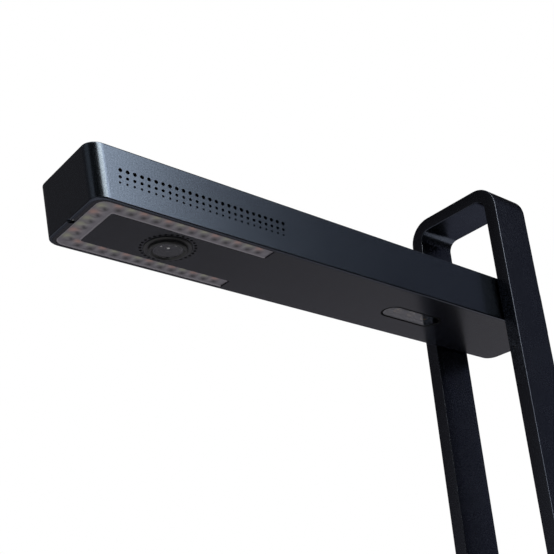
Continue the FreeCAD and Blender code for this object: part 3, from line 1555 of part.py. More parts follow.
def status_light():
    low = control_top + d.hairline
    pipe = cylinder("status_light", STAND, d.status_side, control_line, low, d.status_radius,
                    d.base_height - low)
    node(pipe, "status_light")


# Ports

def port_board():
    body = new_body("port_board", STAND)
    back = d.base_rear - d.base_wall - d.hairline
    plan = new_sketch(body, offset=d.port_low)
    rectangle(plan, -d.port_half, d.port_half, port_fore, back)
    pad(body, plan, d.main_thick)
    drill(body, standoff_spots, d.port_low, d.main_thick, d.small_hole)


def standoffs():
    pieces = []
    for x, y in standoff_spots:
        blank = cylinder("standoff_blank", STAND, x, y, floor_top, d.port_standoff, d.port_low - floor_top)
        hole = cylinder("standoff_hole", STAND, x, y, floor_top, d.small_hole, d.port_low - floor_top)
        pieces.append(minus("standoff", blank, hole))
    group("standoffs", pieces)


def power_socket():
    body = new_body("power_socket", STAND, d.power_side, d.base_rear, port_top)
    face = new_sketch(body, "XZ_Plane")
    rectangle(face, -d.power_wide / 2, d.power_wide / 2, 0, d.power_high)
    pad(body, face, d.power_long)
    bore = new_sketch(body, "XZ_Plane")
    circle(bore, 0, d.power_axis, d.power_bore)
    circle(bore, 0, d.power_axis, d.power_pin)
    cut(body, bore, d.power_deep)


def data_socket():
    body = new_body("data_socket", STAND, d.data_side, d.base_rear, port_top)
    half = d.data_wide / 2
    sheet_thick = d.data_shell
    face = new_sketch(body, "XZ_Plane")
    rectangle(face, -half, half, 0, d.data_high, d.data_high / 2 - d.hairline)
    pad(body, face, d.data_long)
    mouth = new_sketch(body, "XZ_Plane")
    radius = d.data_high / 2 - d.hairline - sheet_thick
    rectangle(mouth, sheet_thick - half, half - sheet_thick, sheet_thick, d.data_high - sheet_thick, radius)
    cut(body, mouth, d.data_long - d.data_back)
    tongue = new_sketch(body, "XZ_Plane", d.data_back)
    low = (d.data_high - d.data_tongue_high) / 2
    half = d.data_tongue_wide / 2
    rectangle(tongue, -half, half, low, low + d.data_tongue_high)
    pad(body, tongue, d.data_long - d.data_back)


def cable_plugs():
    plug_of_leg = box(
        "leg_cable_plug", STAND, leg_cable_out - d.plug_wide / 2, port_fore, port_top,
        d.plug_wide, d.plug_wide, d.leg_cable_low + d.arm_cable_radius - port_top,
    )
    plug_of_controls = box(
        "control_plug_rear", STAND, control_cable_side - d.plug_wide / 2, port_fore, port_top,
        d.plug_wide, d.plug_wide, d.plug_high,
    )
    front = control_plug_back - d.plug_wide
    plug_on_controls = box(
        "control_plug_front", STAND, control_cable_side - d.plug_wide / 2, front, control_top,
        d.plug_wide, d.plug_wide, d.plug_high,
    )
    group("cable_plugs", [plug_of_leg, plug_of_controls, plug_on_controls])


# Cables

def cables():
    mouth = shaft_inner - d.cable_meet
    tube("arm_cable", ARM, d.arm_cable_radius, [
        (d.cable_side, d.main_back - d.hairline, d.hinge_height),
        (d.cable_side, hinge_reach - d.cable_turn, d.hinge_height, d.cable_bend),
        (0, hinge_reach - d.cable_straight, d.hinge_height, d.cable_bend),
        (0, hinge_reach, d.hinge_height, d.cable_tight_bend),
        (mouth, hinge_reach, d.hinge_height),
    ])
    lead_end = d.main_front + d.light_lead_lap
    tube("light_lead", ARM, d.light_lead_radius, [
        (light_lead_side, lead_start, tray_under_roof),
        (light_lead_side, lead_start, d.light_lead_high, d.light_lead_bend),
        (light_lead_side, lead_end, d.light_lead_high, d.light_lead_bend),
        (light_lead_side, lead_end, main_low),
    ])
    tube("leg_cable", STAND, d.arm_cable_radius, [
        (shaft_inner, 0, hinge_above_desk),
        (leg_cable_side, 0, hinge_above_desk, d.leg_cable_bend),
        (leg_cable_side, 0, d.leg_cable_low, d.leg_cable_bend),
        (leg_cable_out, 0, d.leg_cable_low, d.leg_cable_bend_out),
        (leg_cable_out, port_fore, d.leg_cable_low),
    ])
    tube("control_cable", STAND, d.control_cable_radius, [
        (control_cable_side, control_plug_back, control_cable_high),
        (control_cable_side, control_cable_drop, control_cable_high, d.control_cable_bend),
        (control_cable_side, control_cable_level, control_cable_low, d.control_cable_bend),
        (control_cable_side, port_fore, control_cable_low),
    ])


for build in (
    arm_shell, arm_underplate, plate_clips, light_cover, light_tray, light_board, light_chips,
    lens_bezel, lens_barrel, lens_glass, lens_elements, camera_housing, sensor_board, camera_small_pieces,
    main_board, board_parts, laser_window, laser_holder, lasers, dust_screen, arm_screws,
    hinge_brackets, bracket_screws, hinge_pieces,
    stand_loop, groove_cover, set_screws,
    base_cover, base_plate, base_weight, base_feet, base_screws, leg_screws,
    control_board, switches, buttons, status_light,
    port_board, standoffs, power_socket, data_socket, cable_plugs, cables,
):
    build()

doc.recompute()


# Checks, then one file for each piece

def check_document():
    faults = []
    for item in doc.Objects:
        if item.isDerivedFrom("PartDesign::Feature") and (item.Shape.isNull() or not item.Shape.Solids):
            raise RuntimeError(f"{item.Label}: no solid")
        if "Invalid" in item.State or "Error" in item.State:
            faults.append(f"{item.Label}: {item.State}")
        if item.TypeId == "Sketcher::SketchObject" and item.solve() != 0:
            faults.append(f"{item.Label}: sketch isn't solved")
        if item.TypeId == "PartDesign::Pocket":
            removed = item.BaseFeature.Shape.Volume - item.Shape.Volume
            if removed < 0.01:
                faults.append(f"{item.Label}: cuts nothing")
    for item in nodes:
        if item.Shape.isNull() or not item.Shape.isValid() or not item.Shape.Solids:
            faults.append(f"{item.Label}: no valid solid")
    if faults:
        raise RuntimeError("\n".join(faults))


check_document()
os.makedirs(NODE_FOLDER, exist_ok=True)
for item in nodes:
    item.Shape.exportStep(os.path.join(NODE_FOLDER, f"{item.Label}.step"))
print(f"{len(nodes)} nodes written")
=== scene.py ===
import bpy
import bmesh
import math
from mathutils import Matrix, Vector


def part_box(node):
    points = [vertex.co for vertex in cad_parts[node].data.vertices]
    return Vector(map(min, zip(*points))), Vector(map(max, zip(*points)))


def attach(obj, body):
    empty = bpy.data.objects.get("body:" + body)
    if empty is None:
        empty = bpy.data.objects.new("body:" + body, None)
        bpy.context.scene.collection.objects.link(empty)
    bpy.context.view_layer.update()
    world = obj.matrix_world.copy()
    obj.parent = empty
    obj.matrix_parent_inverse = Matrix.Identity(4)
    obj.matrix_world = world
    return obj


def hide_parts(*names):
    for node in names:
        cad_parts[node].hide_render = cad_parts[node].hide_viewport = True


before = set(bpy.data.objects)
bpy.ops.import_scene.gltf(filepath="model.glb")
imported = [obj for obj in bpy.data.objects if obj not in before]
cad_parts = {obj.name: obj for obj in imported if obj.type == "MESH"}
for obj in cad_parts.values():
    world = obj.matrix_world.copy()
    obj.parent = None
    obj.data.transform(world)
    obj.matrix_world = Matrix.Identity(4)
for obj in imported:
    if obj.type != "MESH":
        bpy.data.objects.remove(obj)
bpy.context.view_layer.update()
headLine = -0.212  # the arm's head end, from which places along the arm are measured
weldReach = 0.000002  # loose corners nearer than this are joined
print("frame loaded:", len(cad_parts), "pieces")


# Wiring up shader nodes

mixSockets = dict(first=6, second=7, mixed=2)  # where the mix node keeps its colours
noiseRange = (0.3, 0.7)  # where most values of a noise lie


def put(tree, kind, inputs=None, **settings):
    node = tree.nodes.new(kind)
    for key, value in settings.items():
        setattr(node, key, value)
    for key, value in (inputs or {}).items():
        if isinstance(value, bpy.types.NodeSocket):
            tree.links.new(value, node.inputs[key])
        else:
            node.inputs[key].default_value = value
    return node


def sums(tree, operation, *values, clamp=False):
    inputs = dict(enumerate(values))
    return put(tree, "ShaderNodeMath", inputs, operation=operation, use_clamp=clamp).outputs[0]


def spread(tree, value, low, high, newLow=0.0, newHigh=1.0):
    limits = {"Value": value, "From Min": low, "From Max": high, "To Min": newLow, "To Max": newHigh}
    return put(tree, "ShaderNodeMapRange", limits).outputs[0]


def mixColours(tree, factor, first, second):
    inputs = {0: factor}
    for key, value in (("first", first), ("second", second)):
        inputs[mixSockets[key]] = value if isinstance(value, bpy.types.NodeSocket) else (*value, 1)
    return put(tree, "ShaderNodeMix", inputs, data_type="RGBA").outputs[mixSockets["mixed"]]


def objectPlace(tree):
    return put(tree, "ShaderNodeTexCoord").outputs["Object"]


def axesOf(tree, vector):
    return put(tree, "ShaderNodeSeparateXYZ", {0: vector}).outputs


def noiseAt(tree, place, scale, **values):
    return put(tree, "ShaderNodeTexNoise", {"Vector": place, "Scale": scale, **values}).outputs["Fac"]


def cellsAt(tree, place, scale, **settings):
    inputs = {"Vector": place, "Scale": scale}
    return put(tree, "ShaderNodeTexVoronoi", inputs, **settings).outputs["Distance"]


def painted(tree, name):
    # a value stored on the mesh
    return put(tree, "ShaderNodeAttribute", attribute_name=name).outputs


def newGroup(name, inputs, outputs):
    tree = bpy.data.node_groups.new(name, "ShaderNodeTree")
    for label, value in inputs.items():
        socket = tree.interface.new_socket(label, in_out="INPUT", socket_type="NodeSocketFloat")
        socket.default_value = value
    for label in outputs:
        tree.interface.new_socket(label, in_out="OUTPUT", socket_type="NodeSocketFloat")
    return tree, put(tree, "NodeGroupInput").outputs, put(tree, "NodeGroupOutput").inputs


def useGroup(tree, group, **values):
    node = put(tree, "ShaderNodeGroup", node_tree=group)
    for label, value in values.items():
        node.inputs[label].default_value = value
    return node.outputs


# Effects that several finishes share

def makeGrain():
    # the fine grain of blasted and anodised metal
    look = dict(pitScale=2.7, pitShare=0.5)
    tree, given, made = newGroup("fineGrain", {"Size": 0.0006}, ("Shade", "Height"))
    place = objectPlace(tree)
    scale = sums(tree, "DIVIDE", 1.0, given["Size"])
    coarse = noiseAt(tree, place, scale, Detail=2.0, Roughness=0.6)
    pits = cellsAt(tree, place, sums(tree, "MULTIPLY", scale, look["pitScale"]))
    tree.links.new(spread(tree, coarse, *noiseRange), made["Shade"])
    tree.links.new(sums(tree, "MULTIPLY_ADD", pits, look["pitShare"], coarse), made["Height"])
    return tree


def makeSkin():
    # the spark-eroded texture of moulded plastic
    tree, given, made = newGroup("mouldedSkin", {"Size": 0.0005}, ("Shade", "Height"))
    place = objectPlace(tree)
    scale = sums(tree, "DIVIDE", 1.0, given["Size"])
    bumps = cellsAt(tree, place, scale, feature="SMOOTH_F1")
    grain = noiseAt(tree, place, scale, Detail=3.0)
    tree.links.new(spread(tree, grain, *noiseRange), made["Shade"])
    tree.links.new(sums(tree, "ADD", bumps, grain), made["Height"])
    return tree


def makeWeave():
    # crossing wires of a fine screen that stands upright along the arm
    tree, given, made = newGroup("wovenWires", {"Size": 0.0005}, ("Shade", "Height"))
    place = axesOf(tree, objectPlace(tree))
    scale = sums(tree, "DIVIDE", math.pi, given["Size"])
    wires = []
    for axis in "YZ":
        wave = sums(tree, "SINE", sums(tree, "MULTIPLY", place[axis], scale))
        wires.append(sums(tree, "ABSOLUTE", wave))
    height = sums(tree, "MAXIMUM", *wires)
    tree.links.new(spread(tree, height, low=0.6, high=1.0), made["Shade"])
    tree.links.new(height, made["Height"])
    return tree


def makePatches():
    # broad, soft differences of gloss, as handling leaves them
    tree, given, made = newGroup("softPatches", {"Size": 0.04}, ("Mask",))
    scale = sums(tree, "DIVIDE", 1.0, given["Size"])
    clouds = noiseAt(tree, objectPlace(tree), scale, Detail=4.0, Distortion=0.6)
    tree.links.new(spread(tree, clouds, low=0.35, high=0.65), made["Mask"])
    return tree


def makeDust():
    # a little dust on whatever faces up
    tree, given, made = newGroup("settledDust", {"Amount": 0.1, "Size": 0.006}, ("Mask",))
    facing = axesOf(tree, put(tree, "ShaderNodeNewGeometry").outputs["Normal"])["Z"]
    scale = sums(tree, "DIVIDE", 1.0, given["Size"])
    clumps = noiseAt(tree, objectPlace(tree), scale, Detail=6.0, Roughness=0.7)
    upward = spread(tree, facing, low=0.6, high=0.98)
    flecks = spread(tree, clumps, low=0.4, high=0.75)
    cover = sums(tree, "MULTIPLY", upward, flecks)
    tree.links.new(sums(tree, "MULTIPLY", cover, given["Amount"]), made["Mask"])
    return tree


def makeRimShadeBand():
    # everything lower than a level, with a soft upper edge: the mask of a painted shade
    tree, given, made = newGroup("rimBand", {"Level": 0.3812, "Soft": 0.0003}, ("Mask",))
    below = sums(tree, "SUBTRACT", given["Level"], axesOf(tree, objectPlace(tree))["Z"])
    tree.links.new(sums(tree, "DIVIDE", below, given["Soft"], clamp=True), made["Mask"])
    return tree


grainGroup = makeGrain()
weaveGroup = makeWeave()
skinGroup = makeSkin()
patchGroup = makePatches()
dustGroup = makeDust()
rimGroup = makeRimShadeBand()


# Finishes. light and dark are the two ends of the grain's tone, size and depth are the grain's in metres,
# sparkle and patch are how far the gloss wanders with the grain and from place to place, edge is the tint of
# reflections at a glancing angle, and the rim tone is a painted shade below rimLevel.

usualLook = dict(metallic=0.0, specular=0.5, edge=(1, 1, 1), patch=0.04, sparkle=0.04, patchSize=0.045,
                 surface=grainGroup)
dustTone = (0.30, 0.29, 0.28)
smearedTone = 0.94  # of a glass's tint


def newMaterial(name):
    material = bpy.data.materials.new(name)
    material.use_nodes = True
    tree = material.node_tree
    return material, tree, tree.nodes["Principled BSDF"]


def makeFinish(name, look):
    look = dict(usualLook, **look)
    material, tree, shader = newMaterial(name)
    grain = useGroup(tree, look["surface"], Size=look["size"])
    patches = useGroup(tree, patchGroup, Size=look["patchSize"])
    colour = mixColours(tree, grain["Shade"], look["dark"], look["light"])
    # painted shade: a darker tone below rimLevel
    if "rim" in look:
        mask = useGroup(tree, rimGroup, Level=look["rimLevel"])["Mask"]
        colour = mixColours(tree, mask, colour, look["rim"])
    if "dust" in look:
        mask = useGroup(tree, dustGroup, Amount=look["dust"])["Mask"]
        colour = mixColours(tree, mask, colour, dustTone)
    gloss = sums(tree, "MULTIPLY_ADD", patches["Mask"], look["patch"], look["rough"])
    gloss = sums(tree, "MULTIPLY_ADD", grain["Shade"], look["sparkle"], gloss)
    bump = put(tree, "ShaderNodeBump", {"Height": grain["Height"], "Distance": look["depth"]})
    tree.links.new(colour, shader.inputs["Base Color"])
    tree.links.new(gloss, shader.inputs["Roughness"])
    tree.links.new(bump.outputs[0], shader.inputs["Normal"])
    shader.inputs["Metallic"].default_value = look["metallic"]
    shader.inputs["Specular IOR Level"].default_value = look["specular"]
    shader.inputs["Specular Tint"].default_value = (*look["edge"], 1)
    return material


metalLooks = {
    # the arm's rounded lower edge is darkened by a painted shade
    "arm_metal": dict(light=(0.112, 0.137, 0.177), dark=(0.073, 0.092, 0.121), metallic=1.0, rough=0.235,
                      size=0.0010, depth=0.0000006, sparkle=0.02, patch=0.01, rim=(0.046, 0.052, 0.068),
                      rimLevel=0.3812),
    "stand_metal": dict(light=(0.088, 0.099, 0.128), dark=(0.070, 0.080, 0.104), metallic=1.0, rough=0.25,
                        size=0.0009, depth=0.0000003, sparkle=0.02, patch=0.02, edge=(0.34, 0.32, 0.30)),
    "plate_metal": dict(light=(0.0042, 0.0046, 0.0072), dark=(0.0034, 0.0037, 0.0060), specular=0.31,
                        rough=0.21, size=0.0007, depth=0.000008, sparkle=0.04, patch=0.02),
    "bare_aluminium": dict(light=(0.80, 0.81, 0.82), dark=(0.62, 0.63, 0.65), metallic=1.0, rough=0.30,
                           size=0.001, depth=0.00002),
    "steel": dict(light=(0.62, 0.62, 0.61), dark=(0.48, 0.48, 0.48), metallic=1.0, rough=0.26, size=0.0012,
                  depth=0.00001, patch=0.08),
    "screw_steel": dict(light=(0.16, 0.16, 0.17), dark=(0.10, 0.10, 0.11), metallic=1.0, rough=0.32,
                        size=0.0006, depth=0.00001),
    "plate_steel": dict(light=(0.030, 0.030, 0.031), dark=(0.020, 0.020, 0.021), specular=0.45, rough=0.42,
                        size=0.0009, depth=0.00003),
    "weight_iron": dict(light=(0.20, 0.19, 0.18), dark=(0.12, 0.11, 0.10), metallic=1.0, rough=0.50,
                        size=0.002, depth=0.0001),
    "brass": dict(light=(0.83, 0.60, 0.27), dark=(0.66, 0.45, 0.18), metallic=1.0, rough=0.24, size=0.0009,
                  depth=0.00001, patch=0.08),
}
plasticLooks = {
    "base_plastic": dict(light=(0.020, 0.021, 0.024), dark=(0.014, 0.015, 0.017), rough=0.42, size=0.0007,
                         depth=0.00006, dust=0.05),
    "button_plastic": dict(light=(0.042, 0.043, 0.046), dark=(0.034, 0.035, 0.038), rough=0.34,
                           size=0.0006, depth=0.00003, dust=0.03),
    "black_plastic": dict(light=(0.016, 0.016, 0.017), dark=(0.010, 0.010, 0.011), rough=0.45, size=0.0006,
                          depth=0.00004),
    "white_plastic": dict(light=(0.80, 0.79, 0.77), dark=(0.72, 0.71, 0.69), rough=0.40, size=0.0008,
                          depth=0.00003),
    "white_board": dict(light=(0.78, 0.78, 0.76), dark=(0.70, 0.70, 0.68), rough=0.45, size=0.001,
                        depth=0.00001),
    "chip_black": dict(light=(0.030, 0.030, 0.032), dark=(0.020, 0.020, 0.022), rough=0.55, size=0.0004,
                       depth=0.00003),
    "ribbon": dict(light=(0.42, 0.20, 0.05), dark=(0.34, 0.15, 0.035), rough=0.35, size=0.002,
                   depth=0.00001),
    "cable_rubber": dict(light=(0.022, 0.022, 0.023), dark=(0.016, 0.016, 0.017), rough=0.50, size=0.0008,
                         depth=0.00003),
    "foot_rubber": dict(light=(0.030, 0.030, 0.030), dark=(0.020, 0.020, 0.020), rough=0.70, size=0.0009,
                        depth=0.00008, specular=0.3),
    "screen_mesh": dict(light=(0.014, 0.014, 0.015), dark=(0.003, 0.003, 0.003), rough=0.60, size=0.0005,
                        depth=0.00010, specular=0.2, surface=weaveGroup),
    "mark_print": dict(light=(0.52, 0.53, 0.54), dark=(0.44, 0.45, 0.46), rough=0.50, size=0.0004,
                       depth=0.00001),
    "hole_black": dict(light=(0.004, 0.004, 0.004), dark=(0.002, 0.002, 0.002), rough=0.85, size=0.0004,
                       depth=0.00001, specular=0.05),
    "lens_black": dict(light=(0.008, 0.0083, 0.009), dark=(0.006, 0.006, 0.0065), rough=0.28, size=0.0008,
                       depth=0.000005, specular=0.35),
}
glassLooks = {
    "lens_glass": dict(tint=(0.93, 0.95, 0.97), clear=1.0, index=1.50, rough=0.02, smear=0.02,
                       patchSize=0.006),
    "front_glass": dict(tint=(0.10, 0.10, 0.11), clear=1.0, index=1.60, rough=0.004, smear=0.008,
                        patchSize=0.006),
    "dark_window": dict(tint=(0.30, 0.30, 0.31), clear=1.0, index=1.74, rough=0.02, smear=0.06,
                        patchSize=0.006),
    "light_pipe": dict(tint=(0.85, 0.88, 0.90), clear=0.6, index=1.49, rough=0.25, smear=0.05,
                       patchSize=0.004),
}


def makeGlass(name, look):
    # clear or tinted, a little darker and rougher where it is smeared
    smearedTint = [value * smearedTone for value in look["tint"]]
    material, tree, shader = newMaterial(name)
    patches = useGroup(tree, patchGroup, Size=look["patchSize"])
    gloss = sums(tree, "MULTIPLY_ADD", patches["Mask"], look["smear"], look["rough"])
    colour = mixColours(tree, patches["Mask"], look["tint"], smearedTint)
    tree.links.new(colour, shader.inputs["Base Color"])
    tree.links.new(gloss, shader.inputs["Roughness"])
    shader.inputs["Transmission Weight"].default_value = look["clear"]
    shader.inputs["IOR"].default_value = look["index"]
    return material


def makeBoard():
    # solder mask with tracks and pads showing through
    look = dict(mask=(0.010, 0.075, 0.028), track=(0.018, 0.13, 0.05), pad=(0.60, 0.50, 0.28), pitch=0.0016,
                trackWide=0.06, padPitch=0.0032, padSize=0.16, rough=0.32, rougher=0.1, depth=0.00003)
    material, tree, shader = newMaterial("green_board")
    place = objectPlace(tree)
    bricks = {"Vector": place, "Scale": 1 / look["pitch"], "Mortar Size": look["trackWide"]}
    tracks = put(tree, "ShaderNodeTexBrick", bricks).outputs["Fac"]
    colour = mixColours(tree, tracks, look["mask"], look["track"])
    pads = sums(tree, "LESS_THAN", cellsAt(tree, place, 1 / look["padPitch"]), look["padSize"])
    colour = mixColours(tree, pads, colour, look["pad"])
    tree.links.new(colour, shader.inputs["Base Color"])
    gloss = sums(tree, "MULTIPLY_ADD", tracks, look["rougher"], look["rough"])
    tree.links.new(gloss, shader.inputs["Roughness"])
    height = put(tree, "ShaderNodeBump", {"Height": tracks, "Distance": look["depth"]})
    tree.links.new(height.outputs[0], shader.inputs["Normal"])
    return material


def makeCover():
    # frosted cover: grey and milky, with each diode's own tint in its dimple painted bright as light, a
    # painted shadow and painted light in each dimple, and a painted lighter rim along the lip
    look = dict(milk=(0.124, 0.116, 0.134), rim=(0.178, 0.167, 0.187), bright=(0.150, 0.141, 0.157),
                warm=(0.255, 0.158, 0.136), cool=(0.208, 0.210, 0.155), shadow=(0.026, 0.023, 0.027),
                patchSize=0.004, patchTone=0.86, rough=0.34, rougher=0.08, specular=0.3)
    material, tree, shader = newMaterial("frosted_cover")
    tint, light = (put(tree, "ShaderNodeSeparateColor", {0: painted(tree, name)["Color"]}).outputs
                   for name in ("tint", "light"))
    patches = useGroup(tree, patchGroup, Size=look["patchSize"])
    clouded = [value * look["patchTone"] for value in look["milk"]]
    colour = mixColours(tree, patches["Mask"], look["milk"], clouded)
    # painted light on the face, the diodes' tints painted bright as light, painted shade, and the painted
    # lighter rim
    layers = ((light[0], "bright"), (tint[0], "warm"), (tint[1], "cool"), (tint[2], "shadow"),
              (light[1], "rim"))
    for mask, tone in layers:
        colour = mixColours(tree, mask, colour, look[tone])
    tree.links.new(colour, shader.inputs["Base Color"])
    gloss = sums(tree, "MULTIPLY_ADD", patches["Mask"], look["rougher"], look["rough"])
    tree.links.new(gloss, shader.inputs["Roughness"])
    shader.inputs["Specular IOR Level"].default_value = look["specular"]
    return material


def makeDiode():
    # diode package: white body, phosphor that is warm or cool
    look = dict(body=(0.75, 0.74, 0.70), warm=(0.80, 0.33, 0.05), cool=(0.72, 0.70, 0.12), grain=1 / 3000,
                specks=(0.0, 0.15), rough=(0.3, 0.45))
    material, tree, shader = newMaterial("light_chip")
    speck = noiseAt(tree, objectPlace(tree), 1 / look["grain"])
    colour = mixColours(tree, painted(tree, "warmth")["Fac"], look["cool"], look["warm"])
    colour = mixColours(tree, painted(tree, "phosphor")["Fac"], look["body"], colour)
    colour = mixColours(tree, spread(tree, speck, *noiseRange, *look["specks"]), colour, look["body"])
    tree.links.new(colour, shader.inputs["Base Color"])
    tree.links.new(spread(tree, speck, *noiseRange, *look["rough"]), shader.inputs["Roughness"])
    return material


finishes = {name: makeFinish(name, look) for name, look in metalLooks.items()}
for name, look in plasticLooks.items():
    finishes[name] = makeFinish(name, {"surface": skinGroup, **look})
finishes.update({name: makeGlass(name, look) for name, look in glassLooks.items()})
finishes["green_board"] = makeBoard()
finishes["frosted_cover"] = makeCover()
finishes["light_chip"] = makeDiode()
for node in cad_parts.values():
    for slot in node.material_slots:
        slot.material = finishes[slot.material.name.split(".")[0]]
# the lens's own cover glass is dark, the elements behind it are clear
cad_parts["lens_glass"].material_slots[0].material = finishes["front_glass"]
print("finishes made:", len(finishes))


# Camera, at the photograph's place

camera = dict(place=(0.42910, -0.41084, 0.11464), lens=59.847, right=(0.6165, 0.7850, -0.0609),
              down=(-0.37352, 0.2235, -0.9003), forward=(-0.69312, 0.57778, 0.4310), film=36, near=0.01,
              far=50)


def placeCamera():
    data = bpy.data.cameras.new("camera")
    data.lens = camera["lens"]
    data.sensor_width = camera["film"]
    data.clip_start = camera["near"]
    data.clip_end = camera["far"]
    item = bpy.data.objects.new("camera", data)
    columns = Vector(camera["right"]), -Vector(camera["down"]), -Vector(camera["forward"])
    turn = Matrix(columns).transposed().to_4x4()
    item.matrix_world = Matrix.Translation(camera["place"]) @ turn
    bpy.context.scene.collection.objects.link(item)
    bpy.context.scene.camera = item


placeCamera()


# Studio. Each table of glows has rows from low to high, and in a row the glow from side to side.

# the big box fades towards its foot, by steps of three degrees
boxFade = (0.01, 0.01, 0.01, 0.02, 0.03, 0.07, 0.12, 0.18, 0.26, 0.30, 0.62, 1.00) + (1.00,) * 12
boxSides = (7.7, 8.2)
boxGlow = tuple(tuple(side * part for side in boxSides) for part in boxFade)
rightGlow = (
    (0.03, 0.012, 0.004, 0.20, 0.18, 0.15, 0.15),
    (0.04, 0.015, 0.004, 0.20, 0.18, 0.15, 0.15),
    (0.05, 0.03, 0.005, 0.20, 0.18, 0.15, 0.15),
    (0.052, 0.04, 0.010, 0.19, 0.16, 0.13, 0.13),
    (0.056, 0.05, 0.030, 0.16, 0.12, 0.10, 0.10),
    (0.06, 0.06, 0.056, 0.13, 0.10, 0.08, 0.08),
    (0.06, 0.06, 0.058, 0.14, 0.10, 0.08, 0.08),
    (0.06, 0.06, 0.06, 0.11, 0.09, 0.08, 0.08),
) + ((0.06, 0.06, 0.06, 0.07, 0.08, 0.08, 0.08),) * 2 + ((0.07, 0.07, 0.07, 0.08, 0.08, 0.08, 0.08),) * 3
leftGlow = (
    (0.065, 0.07, 0.08, 0.085, 0.13, 0.13, 0.13),
    (0.068, 0.075, 0.08, 0.08, 0.075, 0.08, 0.08),
    (0.07, 0.08, 0.08, 0.07, 0.02, 0.025, 0.08),
    (0.07, 0.08, 0.08, 0.07, 0.02, 0.03, 0.08),
    (0.07, 0.08, 0.08, 0.06, 0.02, 0.03, 0.08),
)


def evenGlow(*sides):
    # the same at every height, and from side to side where only one is given
    row = (sides[0], sides[-1])
    return row, row


studio = dict(
    ambient=0.45,
    lamps=dict(
        key=dict(place=(0.91, -0.52, 0.98), aim=(0.03, -0.2, 0.4), wide=0.50, high=0.70, glow=8.0),
        side=dict(place=(1.18, 0.11, 1.14), aim=(0.03, -0.1, 0.4), wide=0.80, high=0.80, glow=3.0),
        top=dict(place=(0.0, 0.1, 1.9), aim=(0.0, 0.05, 0.3), wide=1.2, high=1.2, glow=1.2),
        back=dict(place=(-1.2, 1.1, 1.1), aim=(0.0, 0.1, 0.3), wide=0.8, high=0.8, glow=1.6),
    ),
    # light boxes and dark flags that only reflections see, as a studio puts round dark metal. Each is a net
    # of so many steps each way, and one that glows less than dim isn't sampled as a lamp.
    steps=25,
    dim=1,
    # Curved ones stand round the middle, by compass turn in degrees, and all rise over the same degrees.
    reach=6.0,
    middle=(0, 0, 0.38),
    rise=(-3, 66),
    sweeps=dict(
        box=dict(turn=(-22, 6), tone=(1.05, 1.0, 0.87), glow=boxGlow),
        halfBox=dict(turn=(6, 28.5), glow=evenGlow(3.9, 3.0)),
        right=dict(turn=(28.5, 92), tone=(1.0, 1.0, 1.3), glow=rightGlow),
        rear=dict(turn=(92, 185), glow=evenGlow(0.08, 0.10)),
        dark=dict(turn=(-82, -22), glow=evenGlow(0.015)),
        front=dict(turn=(-112, -82), glow=evenGlow(0.17, 0.24)),
        left=dict(turn=(185, 248), tone=(1.12, 1.0, 0.98), glow=leftGlow),
    ),
    # Flat ones lie near the floor, the four smallest where the glass of the lens mirrors them.
    flats=dict(
        leftFloor=dict(place=(-1.9, -0.35, 0.03), wide=1.55, deep=2.3, tone=(0.97, 0.95, 1.08),
                       glow=tuple((glow, glow) for glow in (0.23, 0.27, 0.31, 0.27, 0.14))),
        rearFloor=dict(place=(-6.0, 1.6, 0.02), wide=6.2, deep=4.4, glow=evenGlow(0.08)),
        rightFloor=dict(place=(0.2, -0.8, 0.02), wide=6.0, deep=7.0, glow=evenGlow(0.02)),
        farFloor=dict(place=(6.2, 2.2, 0.02), wide=6.0, deep=7.0, tone=(1.2, 1.0, 0.9), glow=evenGlow(0.03)),
        lensGlow=dict(place=(-0.5425, 0.2035, 0.035), wide=0.075, deep=0.075, glow=evenGlow(0.20)),
        glint=dict(place=(-0.5455, 0.2045, 0.04), wide=0.0026, deep=0.0034, glow=evenGlow(3.4)),
        glintLeft=dict(place=(-0.5450, 0.1932, 0.04), wide=0.0018, deep=0.0024, glow=evenGlow(2)),
        glintRight=dict(place=(-0.5345, 0.2104, 0.04), wide=0.0018, deep=0.0024, glow=evenGlow(2)),
    ),
)


def aimed(item, look):
    item.location = look["place"]
    away = Vector(look["place"]) - Vector(look["aim"])
    item.rotation_euler = away.to_track_quat("Z", "Y").to_euler()
    bpy.context.scene.collection.objects.link(item)


def tableAt(table, across, up):
    # a value between the entries of a small table
    def between(row, share):
        spot = share * (len(row) - 1)
        low = min(int(spot), len(row) - 2)
        part = spot - low
        return row[low] * (1 - part) + row[low + 1] * part

    return between([between(row, across) for row in table], up)


def sweepSpot(look, column, row, last):
    turn, rise = (math.radians(low + (high - low) * index / last)
                  for (low, high), index in ((look["turn"], column), (studio["rise"], row)))
    way = Vector((math.cos(turn) * math.cos(rise), math.sin(turn) * math.cos(rise), math.sin(rise)))
    return tuple(Vector(studio["middle"]) + way * studio["reach"])


def flatSpot(look, column, row, last):
    x, y, z = look["place"]
    return x + look["wide"] * column / last, y + look["deep"] * row / last, z


def glowMaterial(name, tone, bright):
    material = bpy.data.materials.new(name)
    material.use_nodes = True
    tree = material.node_tree
    tree.nodes.clear()
    light = put(tree, "ShaderNodeEmission", {"Strength": painted(tree, "glow")["Fac"], "Color": (*tone, 1)})
    put(tree, "ShaderNodeOutputMaterial", {"Surface": light.outputs[0]})
    if not bright:
        material.cycles.emission_sampling = "NONE"
    return material


